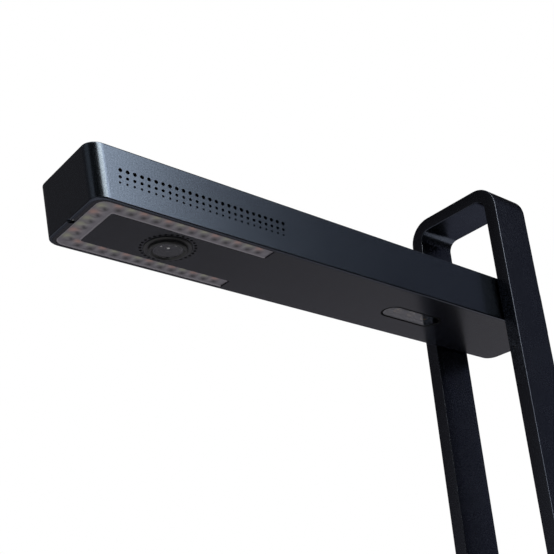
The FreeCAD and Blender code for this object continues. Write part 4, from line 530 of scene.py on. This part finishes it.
def buildScreen(name, look, spotAt):
    # a net of corners, each with its own glow, that only glossy faces see
    steps = studio["steps"]
    last = steps - 1
    grid = [(column, row) for row in range(steps) for column in range(steps)]
    spots = [spotAt(look, column, row, last) for column, row in grid]
    glows = [tableAt(look["glow"], column / last, row / last) for column, row in grid]
    corners = [row * steps + column for column, row in grid if column < last and row < last]
    faces = [(corner, corner + 1, corner + 1 + steps, corner + steps) for corner in corners]
    mesh = bpy.data.meshes.new(name)
    mesh.from_pydata(spots, [], faces)
    mesh.attributes.new("glow", "FLOAT", "POINT").data.foreach_set("value", glows)
    bright = max(glows) >= studio["dim"]
    mesh.materials.append(glowMaterial(name, look.get("tone", (1, 1, 1)), bright))
    item = bpy.data.objects.new(name, mesh)
    bpy.context.scene.collection.objects.link(item)
    for ray in ("camera", "diffuse", "transmission", "shadow", "volume_scatter"):
        setattr(item, "visible_" + ray, False)


def buildStudio():
    for name, look in studio["lamps"].items():
        data = bpy.data.lights.new(name, "AREA")
        data.shape = "RECTANGLE"
        data.size = look["wide"]
        data.size_y = look["high"]
        data.energy = look["glow"] * math.pi * look["wide"] * look["high"]
        lamp = bpy.data.objects.new(name, data)
        aimed(lamp, look)
        lamp.visible_glossy = False
    for name, look in studio["sweeps"].items():
        buildScreen(name, look, sweepSpot)
    for name, look in studio["flats"].items():
        buildScreen(name, look, flatSpot)


def buildFloor():
    look = dict(reach=8.0, light=(0.80, 0.80, 0.80), darker=0.97, grain=60.0, rough=0.7, specular=0.2,
                fade=(0.7, 2.2))
    reach = look["reach"]
    mesh = bpy.data.meshes.new("floor")
    mesh.from_pydata([(-reach, -reach, 0), (reach, -reach, 0), (reach, reach, 0), (-reach, reach, 0)], [],
                     [(0, 1, 2, 3)])
    floor = bpy.data.objects.new("floor", mesh)
    bpy.context.scene.collection.objects.link(floor)
    material, tree, shader = newMaterial("floor")
    mesh.materials.append(material)
    place = objectPlace(tree)
    noise = noiseAt(tree, place, look["grain"], Detail=5.0)
    dark = [value * look["darker"] for value in look["light"]]
    colour = mixColours(tree, spread(tree, noise, *noiseRange), dark, look["light"])
    tree.links.new(colour, shader.inputs["Base Color"])
    shader.inputs["Roughness"].default_value = look["rough"]
    shader.inputs["Specular IOR Level"].default_value = look["specular"]
    # far from the object the floor runs into the white backdrop
    far = put(tree, "ShaderNodeVectorMath", {0: place}, operation="LENGTH").outputs["Value"]
    fade = spread(tree, far, *look["fade"])
    white = put(tree, "ShaderNodeEmission", {"Strength": 1.0}).outputs[0]
    seen = put(tree, "ShaderNodeLightPath").outputs
    shown = sums(tree, "MULTIPLY", fade, seen["Is Camera Ray"])
    mixed = put(tree, "ShaderNodeMixShader", {0: shown, 1: shader.outputs[0], 2: white})
    tree.links.new(mixed.outputs[0], tree.nodes["Material Output"].inputs["Surface"])


def buildWorld():
    # white to the camera and in reflections, dimmer as a light on matt faces
    world = bpy.data.worlds.new("world")
    bpy.context.scene.world = world
    world.use_nodes = True
    tree = world.node_tree
    tree.nodes.clear()
    seen = put(tree, "ShaderNodeLightPath").outputs
    shown = sums(tree, "ADD", seen["Is Camera Ray"], seen["Is Glossy Ray"])
    shown = sums(tree, "ADD", shown, seen["Is Transmission Ray"], clamp=True)
    strength = sums(tree, "MULTIPLY_ADD", shown, 1 - studio["ambient"], studio["ambient"])
    light = put(tree, "ShaderNodeBackground", {"Strength": strength, "Color": (1, 1, 1, 1)})
    put(tree, "ShaderNodeOutputWorld", {"Surface": light.outputs[0]})


buildStudio()
buildFloor()
buildWorld()
bpy.context.scene.view_settings.view_transform = "Standard"
print("studio built")


# Pieces shown in place of the CAD's own

def joinedCopy(node):
    # a copy of a CAD piece with its loose triangles joined
    mesh = bmesh.new()
    mesh.from_mesh(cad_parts[node].data)
    bmesh.ops.remove_doubles(mesh, verts=mesh.verts, dist=weldReach)
    return mesh


def stored(mesh, name):
    # the finished mesh as mesh data
    data = bpy.data.meshes.new(name)
    mesh.to_mesh(data)
    mesh.free()
    return data


def show(name, data, body, slot, *nodes, finish=None):
    data.materials.clear()
    data.materials.append(finishes[finish or slot])
    item = bpy.data.objects.new(name, data)
    bpy.context.scene.collection.objects.link(item)
    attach(item, body)
    if nodes:
        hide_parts(*nodes)
    return item


def evenShading(item, angle):
    # smooth over edges flatter than the angle, with the wide faces kept flat
    item.data.shade_smooth()
    item.data.set_sharp_from_angle(angle=math.radians(angle))
    modifier = item.modifiers.new("weighting", "WEIGHTED_NORMAL")
    modifier.keep_sharp = True
    modifier.weight = 100


def buildStandLoop():
    # its narrow chamfers shade as one round edge, its wide faces stay flat
    mesh = joinedCopy("stand_loop")
    bmesh.ops.recalc_face_normals(mesh, faces=mesh.faces)
    evenShading(show("standLoop", stored(mesh, "standLoop"), "base", "stand_metal", "stand_loop"), angle=50)


def buildWindow():
    # pane with a gap round it and a rounded lower edge
    look = dict(gap=0.00045, edge=0.0006, steps=4, flat=0.02, foot=0.00002)
    mesh = joinedCopy("laser_window")
    bmesh.ops.dissolve_limit(mesh, angle_limit=look["flat"], verts=mesh.verts, edges=mesh.edges)
    low, high = (Vector(pick(vert.co[axis] for vert in mesh.verts) for axis in range(3))
                 for pick in (min, max))
    middle, half = (low + high) / 2, (high - low) / 2
    for vert in mesh.verts:
        for axis in (0, 1):
            vert.co[axis] = middle[axis] + (vert.co[axis] - middle[axis]) * (1 - look["gap"] / half[axis])
    ring = [edge for edge in mesh.edges if all(vert.co.z < low.z + look["foot"] for vert in edge.verts)]
    bmesh.ops.bevel(mesh, geom=ring, offset=look["edge"], segments=look["steps"], profile=0.5,
                    affect="EDGES", clamp_overlap=True)
    bmesh.ops.recalc_face_normals(mesh, faces=mesh.faces)
    pane = show("windowPane", stored(mesh, "windowPane"), "arm", "dark_window", "laser_window")
    evenShading(pane, angle=40)


def buildWindowGapShade():
    # painted shade: a dark ring round the opening that the pane sits in, for the shade in the gap round the
    # pane
    look = dict(middle=headLine + 0.2873, halfLong=0.0277, halfWide=0.0086, sides=(0.0006, -0.0009),
                level=0.37997, steps=20)
    turns = [math.pi * index / look["steps"] for index in range(look["steps"] + 1)]
    points = []
    for grown in look["sides"]:
        radius = look["halfWide"] + grown
        for way in (1, -1):
            centre = look["middle"] + way * (look["halfLong"] - look["halfWide"])
            points += [(way * radius * math.cos(turn), centre + way * radius * math.sin(turn), look["level"])
                       for turn in turns]
    count = len(points) // 2
    faces = [(index, count + index, count + (index + 1) % count, (index + 1) % count)
             for index in range(count)]
    data = bpy.data.meshes.new("windowGapShade")
    data.from_pydata(points, [], faces)
    show("windowGapShade", data, "arm", "lens_black", finish="hole_black")


buildStandLoop()
buildWindow()
buildWindowGapShade()
print("stand loop and window built")


# Repeats, made with Geometry Nodes

roundSides = 20  # of the small rings and discs


def repeatTree(name, inputs):
    # an empty tree with named inputs, and the nodes that every repeat ends in
    tree = bpy.data.node_groups.new(name, "GeometryNodeTree")
    tree.interface.new_socket("Geometry", in_out="INPUT", socket_type="NodeSocketGeometry")
    for label, kind in inputs.items():
        tree.interface.new_socket(label, in_out="INPUT", socket_type="NodeSocket" + kind)
    tree.interface.new_socket("Geometry", in_out="OUTPUT", socket_type="NodeSocketGeometry")
    given, made = put(tree, "NodeGroupInput").outputs, put(tree, "NodeGroupOutput").inputs

    def finish(geometry):
        whole = put(tree, "GeometryNodeRealizeInstances", {"Geometry": geometry}).outputs[0]
        painting = {"Geometry": whole, "Material": given["Material"]}
        tree.links.new(put(tree, "GeometryNodeSetMaterial", painting).outputs[0], made["Geometry"])

    return tree, given, finish


def onPoints(tree, given, item, **values):
    # an item on every point of the start mesh
    points = put(tree, "GeometryNodeMeshToPoints", {"Mesh": given["Geometry"]}).outputs[0]
    inputs = {"Points": points, "Instance": item, **values}
    return put(tree, "GeometryNodeInstanceOnPoints", inputs).outputs[0]


def grow(name, tree, start, values):
    # the mesh that a tree makes from a start mesh with these values
    item = bpy.data.objects.new(name + "Source", start)
    bpy.context.scene.collection.objects.link(item)
    modifier = item.modifiers.new("repeat", "NODES")
    modifier.node_group = tree
    for socket in tree.interface.items_tree:
        if socket.item_type == "SOCKET" and socket.in_out == "INPUT" and socket.name in values:
            modifier[socket.identifier] = values[socket.name]
    shown = item.evaluated_get(bpy.context.evaluated_depsgraph_get())
    data = bpy.data.meshes.new_from_object(shown)
    data.name = name
    item.modifiers.remove(modifier)
    bpy.data.objects.remove(item)
    return data


def spotMesh(name, spots, edges=(), **values):
    mesh = bpy.data.meshes.new(name)
    mesh.from_pydata([tuple(spot) for spot in spots], edges, [])
    for label, numbers in values.items():
        mesh.attributes.new(label, "FLOAT", "POINT").data.foreach_set("value", numbers)
    return mesh


def makeRingTree():
    # small flat rings on every point
    inputs = {"Outer": "Float", "Inner": "Float", "Thick": "Float", "Material": "Material"}
    tree, given, finish = repeatTree("smallRings", inputs)
    sizes = {"Vertices": roundSides, "Radius Top": given["Inner"], "Radius Bottom": given["Outer"],
             "Depth": given["Thick"]}
    ring = put(tree, "GeometryNodeMeshCone", sizes, fill_type="NONE")
    finish(onPoints(tree, given, ring.outputs["Mesh"]))
    return tree


def makeDiodeTree():
    # a package with a round phosphor on its lower face, on every point, turned by the point's own angle
    inputs = {"Size": "Vector", "Phosphor": "Float", "Thick": "Float", "Material": "Material"}
    tree, given, finish = repeatTree("diodePackages", inputs)
    package = put(tree, "GeometryNodeMeshCube", {"Size": given["Size"]})
    sizes = {"Vertices": roundSides, "Radius": given["Phosphor"], "Depth": given["Thick"]}
    disc = put(tree, "GeometryNodeMeshCylinder", sizes).outputs["Mesh"]
    half = sums(tree, "MULTIPLY", axesOf(tree, given["Size"])["Z"], -0.5)
    lower = put(tree, "ShaderNodeCombineXYZ", {"Z": half}).outputs[0]
    disc = put(tree, "GeometryNodeTransform", {"Geometry": disc, "Translation": lower}).outputs[0]
    marking = {"Geometry": disc, "Name": "phosphor", "Value": 1.0}
    marked = put(tree, "GeometryNodeStoreNamedAttribute", marking, data_type="FLOAT", domain="POINT")
    both = put(tree, "GeometryNodeJoinGeometry")
    tree.links.new(marked.outputs[0], both.inputs[0])
    tree.links.new(package.outputs["Mesh"], both.inputs[0])
    turn = put(tree, "GeometryNodeInputNamedAttribute", {"Name": "turn"}, data_type="FLOAT")
    turned = put(tree, "ShaderNodeCombineXYZ", {"Z": turn.outputs["Attribute"]}).outputs[0]
    finish(onPoints(tree, given, both.outputs[0], Rotation=turned))
    return tree


def makeBarTree():
    # small bars on every point
    tree, given, finish = repeatTree("smallBars", {"Size": "Vector", "Material": "Material"})
    bar = put(tree, "GeometryNodeMeshCube", {"Size": given["Size"]})
    finish(onPoints(tree, given, bar.outputs["Mesh"]))
    return tree


def makeStrokeTree():
    # a round stroke along every line of the start mesh
    tree, given, finish = repeatTree("strokes", {"Radius": "Float", "Sides": "Int", "Material": "Material"})
    lines = put(tree, "GeometryNodeMeshToCurve", {"Mesh": given["Geometry"]}).outputs[0]
    circle = {"Resolution": given["Sides"], "Radius": given["Radius"]}
    section = put(tree, "GeometryNodeCurvePrimitiveCircle", circle).outputs[0]
    drawing = {"Curve": lines, "Profile Curve": section, "Fill Caps": True}
    finish(put(tree, "GeometryNodeCurveToMesh", drawing).outputs[0])
    return tree


def faceDown(data):
    # turns over the faces that look up
    mesh = bmesh.new()
    mesh.from_mesh(data)
    for face in mesh.faces:
        face.normal_update()
    bmesh.ops.reverse_faces(mesh, faces=[face for face in mesh.faces if face.normal.z > 0])
    mesh.to_mesh(data)
    mesh.free()


def buildHoleShadeRings():
    # painted shade: dark rings round the small holes round the lens, for the shade inside the holes
    look = dict(count=30, radius=0.0172, outer=0.00095, inner=0.0005, thick=0.00002, level=0.37997,
                middle=headLine + 0.073)
    turns = [index / look["count"] * math.tau for index in range(look["count"])]
    spots = [(look["radius"] * math.cos(turn), look["middle"] + look["radius"] * math.sin(turn),
              look["level"]) for turn in turns]
    values = {"Outer": look["outer"], "Inner": look["inner"], "Thick": look["thick"],
              "Material": finishes["hole_black"]}
    data = grow("holeShadeRings", makeRingTree(), spotMesh("rimSpots", spots), values)
    faceDown(data)
    show("holeShadeRings", data, "arm", "lens_black", finish="hole_black")


def buildContacts():
    # gold contacts on both faces of the data socket's tongue
    look = dict(count=10, pitch=0.0005, side=-0.014, middle=0.2084, levels=(0.01160, 0.01086),
                size=(0.00026, 0.0042, 0.00006))
    spots = [(look["side"] + (index - (look["count"] - 1) / 2) * look["pitch"], look["middle"], level)
             for level in look["levels"] for index in range(look["count"])]
    values = {"Size": look["size"], "Material": finishes["brass"]}
    data = grow("socketContacts", makeBarTree(), spotMesh("contactSpots", spots), values)
    show("socketContacts", data, "base", "steel", finish="brass")


def arcLine(radius, first, last, steps):
    turns = [math.radians(first + (last - first) * index / steps) for index in range(steps + 1)]
    return [(radius * math.cos(turn), radius * math.sin(turn)) for turn in turns]


def buildMarks():
    # generic signs on the buttons: on and off, lamp, and a page being framed
    look = dict(stroke=0.0002, sides=10, sunk=0.00011, ring=0.0022, ringEnds=(125, 415), ringSteps=24,
                bar=(0.0006, 0.0027), bulb=0.0012, bulbSteps=20, rays=8, ray=(0.0020, 0.0028),
                page=0.0024, pageGap=0.0011, line=0.0015)
    rays = [[(radius * math.cos(index * math.tau / look["rays"]),
              radius * math.sin(index * math.tau / look["rays"])) for radius in look["ray"]]
            for index in range(look["rays"])]
    page, gap = look["page"], look["pageGap"]
    corners = [[(x * gap, y * page), (x * page, y * page), (x * page, y * gap)]
               for x in (-1, 1) for y in (-1, 1)]
    signs = {
        "power_button": [arcLine(look["ring"], *look["ringEnds"], look["ringSteps"]),
                         [(0, end) for end in look["bar"]]],
        "light_button": [arcLine(look["bulb"], 0, 360, look["bulbSteps"])] + rays,
        "scan_button": corners + [[(-look["line"], 0), (look["line"], 0)]],
    }
    tree = makeStrokeTree()
    values = {"Radius": look["stroke"], "Sides": look["sides"], "Material": finishes["mark_print"]}
    for button, lines in signs.items():
        low, high = (Vector(corner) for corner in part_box(button))
        middle, level = (low + high) / 2, high.z - look["sunk"]
        spots, edges = [], []
        for line in lines:
            start = len(spots)
            spots += [(middle.x + x, middle.y + y, level) for x, y in line]
            edges += [(start + index, start + index + 1) for index in range(len(line) - 1)]
        data = grow(button + ".sign", tree, spotMesh(button + "Lines", spots, edges), values)
        data.shade_smooth()
        show(button + ".sign", data, button, "button_plastic", finish="mark_print")


buildHoleShadeRings()
buildContacts()
buildMarks()
print("repeats built")


# Light cover and the diodes behind it

perMetre = 1000
lightCover = dict(
    halfWide=0.0299, innerHalf=0.0196, rear=0.1333, front=0.0106, innerFront=0.0232, outerCorner=0.0062,
    innerCorner=0.0016, face=0.3808, back=0.3822, step=0.00045, bendSteps=20, across=24, evenShare=0.4,
    dimple=0.0031, dimpleDeep=0.0005, dimpleShape=0.8, lip=0.0009, lipHigh=0.0007, lipSoft=0.0004,
    # how a dimple is painted, in millimetres from its middle: the diode's tint and painted light on one side,
    # painted shadow by the wall on the other side, and painted light on the face. Each is a soft spot at x
    # and y, with its reach to the side and along, and how far it leans with y and with x. An arc of painted
    # shade lies by the wall.
    tintReach=9,
    rowSpots=dict(glow=(2.3, -2.4, 2.9, 3.0, 0, 0), wall=(-0.2, 1.7, 1.5, 1.3, 0.4, 0),
                  light=(3.0, 1.0, 2.5, 3.0, 0, 0)),
    sideSpots=dict(glow=(2.6, -0.6, 2.5, 2.6, 0, 0.2), wall=(-2.2, 1.3, 1.7, 2.0, 0, 0),
                   light=(1.0, -3.2, 4.0, 1.6, 0, 0)),
    wallShade=0.95,
    arc=dict(x=-0.3, y=0.2, radius=3.1, wide=0.45, aim=(-0.75, 0.66), fade=3.0, deep=0.7),
)
diodes = dict(side=0.0248, first=0.0243, pitch=0.00833, count=13, rowLine=0.0166, rowKinds=(0, 1, 0, 0, 1, 0),
              size=(0.0034, 0.0027, 0.0008), phosphor=0.00115, thick=0.0001, level=0.3857)


def diodePlaces():
    # every second diode along the sides is a warm one
    places = []
    for way in (1, -1):
        places += [(way * diodes["side"], headLine + diodes["first"] + index * diodes["pitch"],
                    1 - index % 2, False) for index in range(diodes["count"])]
    start = -(len(diodes["rowKinds"]) - 1) / 2 * diodes["pitch"]
    places += [(start + index * diodes["pitch"], headLine + diodes["rowLine"], kind, True)
               for index, kind in enumerate(diodes["rowKinds"])]
    return places


def coverSide(way):
    # matching points on the inner and outer edge, from the rear end to the middle of the head row
    look = lightCover
    rear, front, innerFront = (headLine + look[key] for key in ("rear", "front", "innerFront"))
    outer, inner = [], []
    turnOut = Vector((look["halfWide"] - look["outerCorner"], front + look["outerCorner"]))
    turnIn = Vector((look["innerHalf"] - look["innerCorner"], innerFront + look["innerCorner"]))
    count = round((rear - turnOut.y) / look["step"])
    for index in range(count):
        share = index / count
        outer.append((look["halfWide"], rear + (turnOut.y - rear) * share))
        inner.append((look["innerHalf"], rear + (turnIn.y - rear) * share))
    for index in range(look["bendSteps"]):
        angle = index / look["bendSteps"] * math.pi / 2
        bend = Vector((math.cos(angle), -math.sin(angle)))
        outer.append(tuple(turnOut + bend * look["outerCorner"]))
        inner.append(tuple(turnIn + bend * look["innerCorner"]))
    count = round(turnOut.x / look["step"])
    for index in range(count + 1):
        share = 1 - index / count
        outer.append((turnOut.x * share, front))
        inner.append((turnIn.x * share, innerFront))
    return [((way * a[0], a[1]), (way * b[0], b[1])) for a, b in zip(inner, outer)]


def held(value):
    # kept from 0 to 1
    return max(0.0, min(1.0, value))


def softSpot(dx, dy, x, y, wide, long, leanX, leanY):
    return math.exp(-(((dx - x + dy * leanX) / wide) ** 2 + ((dy - y + dx * leanY) / long) ** 2))


def dimpleTones(spot, places):
    # how deep the cover is dimpled at a spot, and its painted light and shade there: the warm or cool diode
    # tint painted bright as light, painted shade, and painted light
    look, arc = lightCover, lightCover["arc"]
    rise, warm, cool, shade, lit = 0.0, 0.0, 0.0, 0.0, 0.0
    for x, y, kind, inRow in places:
        dx, dy = (spot.x - x) * perMetre, (spot.y - y) * perMetre
        if abs(dx) > look["tintReach"] or abs(dy) > look["tintReach"]:
            continue
        far = math.hypot(dx, dy) / look["dimple"] / perMetre
        if far < 1:
            rise = max(rise, look["dimpleDeep"] * (1 - far ** 2) ** look["dimpleShape"])
        spots = look["rowSpots" if inRow else "sideSpots"]
        glow, wall, light = (softSpot(dx, dy, *spots[key]) for key in ("glow", "wall", "light"))
        off = math.hypot(dx - arc["x"], dy - arc["y"]) - arc["radius"]
        line = math.exp(-(off / arc["wide"]) ** 2)
        line *= held((dx * arc["aim"][0] + dy * arc["aim"][1]) / arc["fade"])
        shade = max(shade, wall * look["wallShade"], line * arc["deep"])
        lit = max(lit, light)
        if kind:
            warm = max(warm, glow)
        else:
            cool = max(cool, glow)
    return rise, warm, cool, shade, lit


def buildCover():
    look = lightCover
    across = look["across"]
    places = diodePlaces()
    mesh = bmesh.new()
    tint = mesh.verts.layers.float_color.new("tint")
    light = mesh.verts.layers.float_color.new("light")
    rows = []
    for inner, outer in coverSide(1) + coverSide(-1)[-2::-1]:
        start, end = Vector(inner), Vector(outer)
        width = (end - start).length
        row = []
        for index in range(across + 1):
            # finer towards both edges
            share = 0.5 - 0.5 * math.cos(math.pi * index / across)
            share = (1 - look["evenShare"]) * share + look["evenShare"] * index / across
            spot = start.lerp(end, share)
            edge = min(share, 1 - share) * width
            rise, warm, cool, shade, lit = dimpleTones(spot, places)
            lift = look["lipHigh"] * max(0.0, 1 - edge / look["lip"])
            vert = mesh.verts.new((spot.x, spot.y, look["face"] + rise - lift))
            # painted light and shade as colours: the diodes' tints painted bright, painted shade, painted
            # light, and the painted lighter lip
            vert[tint] = (warm, cool, shade, 1)
            vert[light] = (lit, held((look["lip"] - edge) / look["lipSoft"]), 0, 1)
            row.append(vert)
        rows.append(row)
    for first, second in zip(rows, rows[1:]):
        for index in range(across):
            mesh.faces.new((first[index], first[index + 1], second[index + 1], second[index]))
    # walls and back
    edges = [edge for edge in mesh.edges if edge.is_boundary]
    grown = bmesh.ops.extrude_edge_only(mesh, edges=edges)["geom"]
    for item in grown:
        if isinstance(item, bmesh.types.BMVert):
            item.co.z = look["back"]
    border = [item for item in grown if isinstance(item, bmesh.types.BMEdge)]
    bmesh.ops.contextual_create(mesh, geom=border)
    bmesh.ops.recalc_face_normals(mesh, faces=mesh.faces)
    data = stored(mesh, "lightCover")
    data.shade_smooth()
    show("lightCover", data, "arm", "frosted_cover", "light_cover")


def buildDiodes():
    places = diodePlaces()
    spots = [(x, y, diodes["level"]) for x, y, kind, inRow in places]
    start = spotMesh("diodeSpots", spots, warmth=[float(kind) for x, y, kind, inRow in places],
                     turn=[math.pi / 2 if inRow else 0.0 for x, y, kind, inRow in places])
    values = {"Size": diodes["size"], "Phosphor": diodes["phosphor"], "Thick": diodes["thick"],
              "Material": finishes["light_chip"]}
    show("diodes", grow("diodes", makeDiodeTree(), start, values), "arm", "light_chip", "light_chips")


buildCover()
buildDiodes()
print("light cover and diodes built")
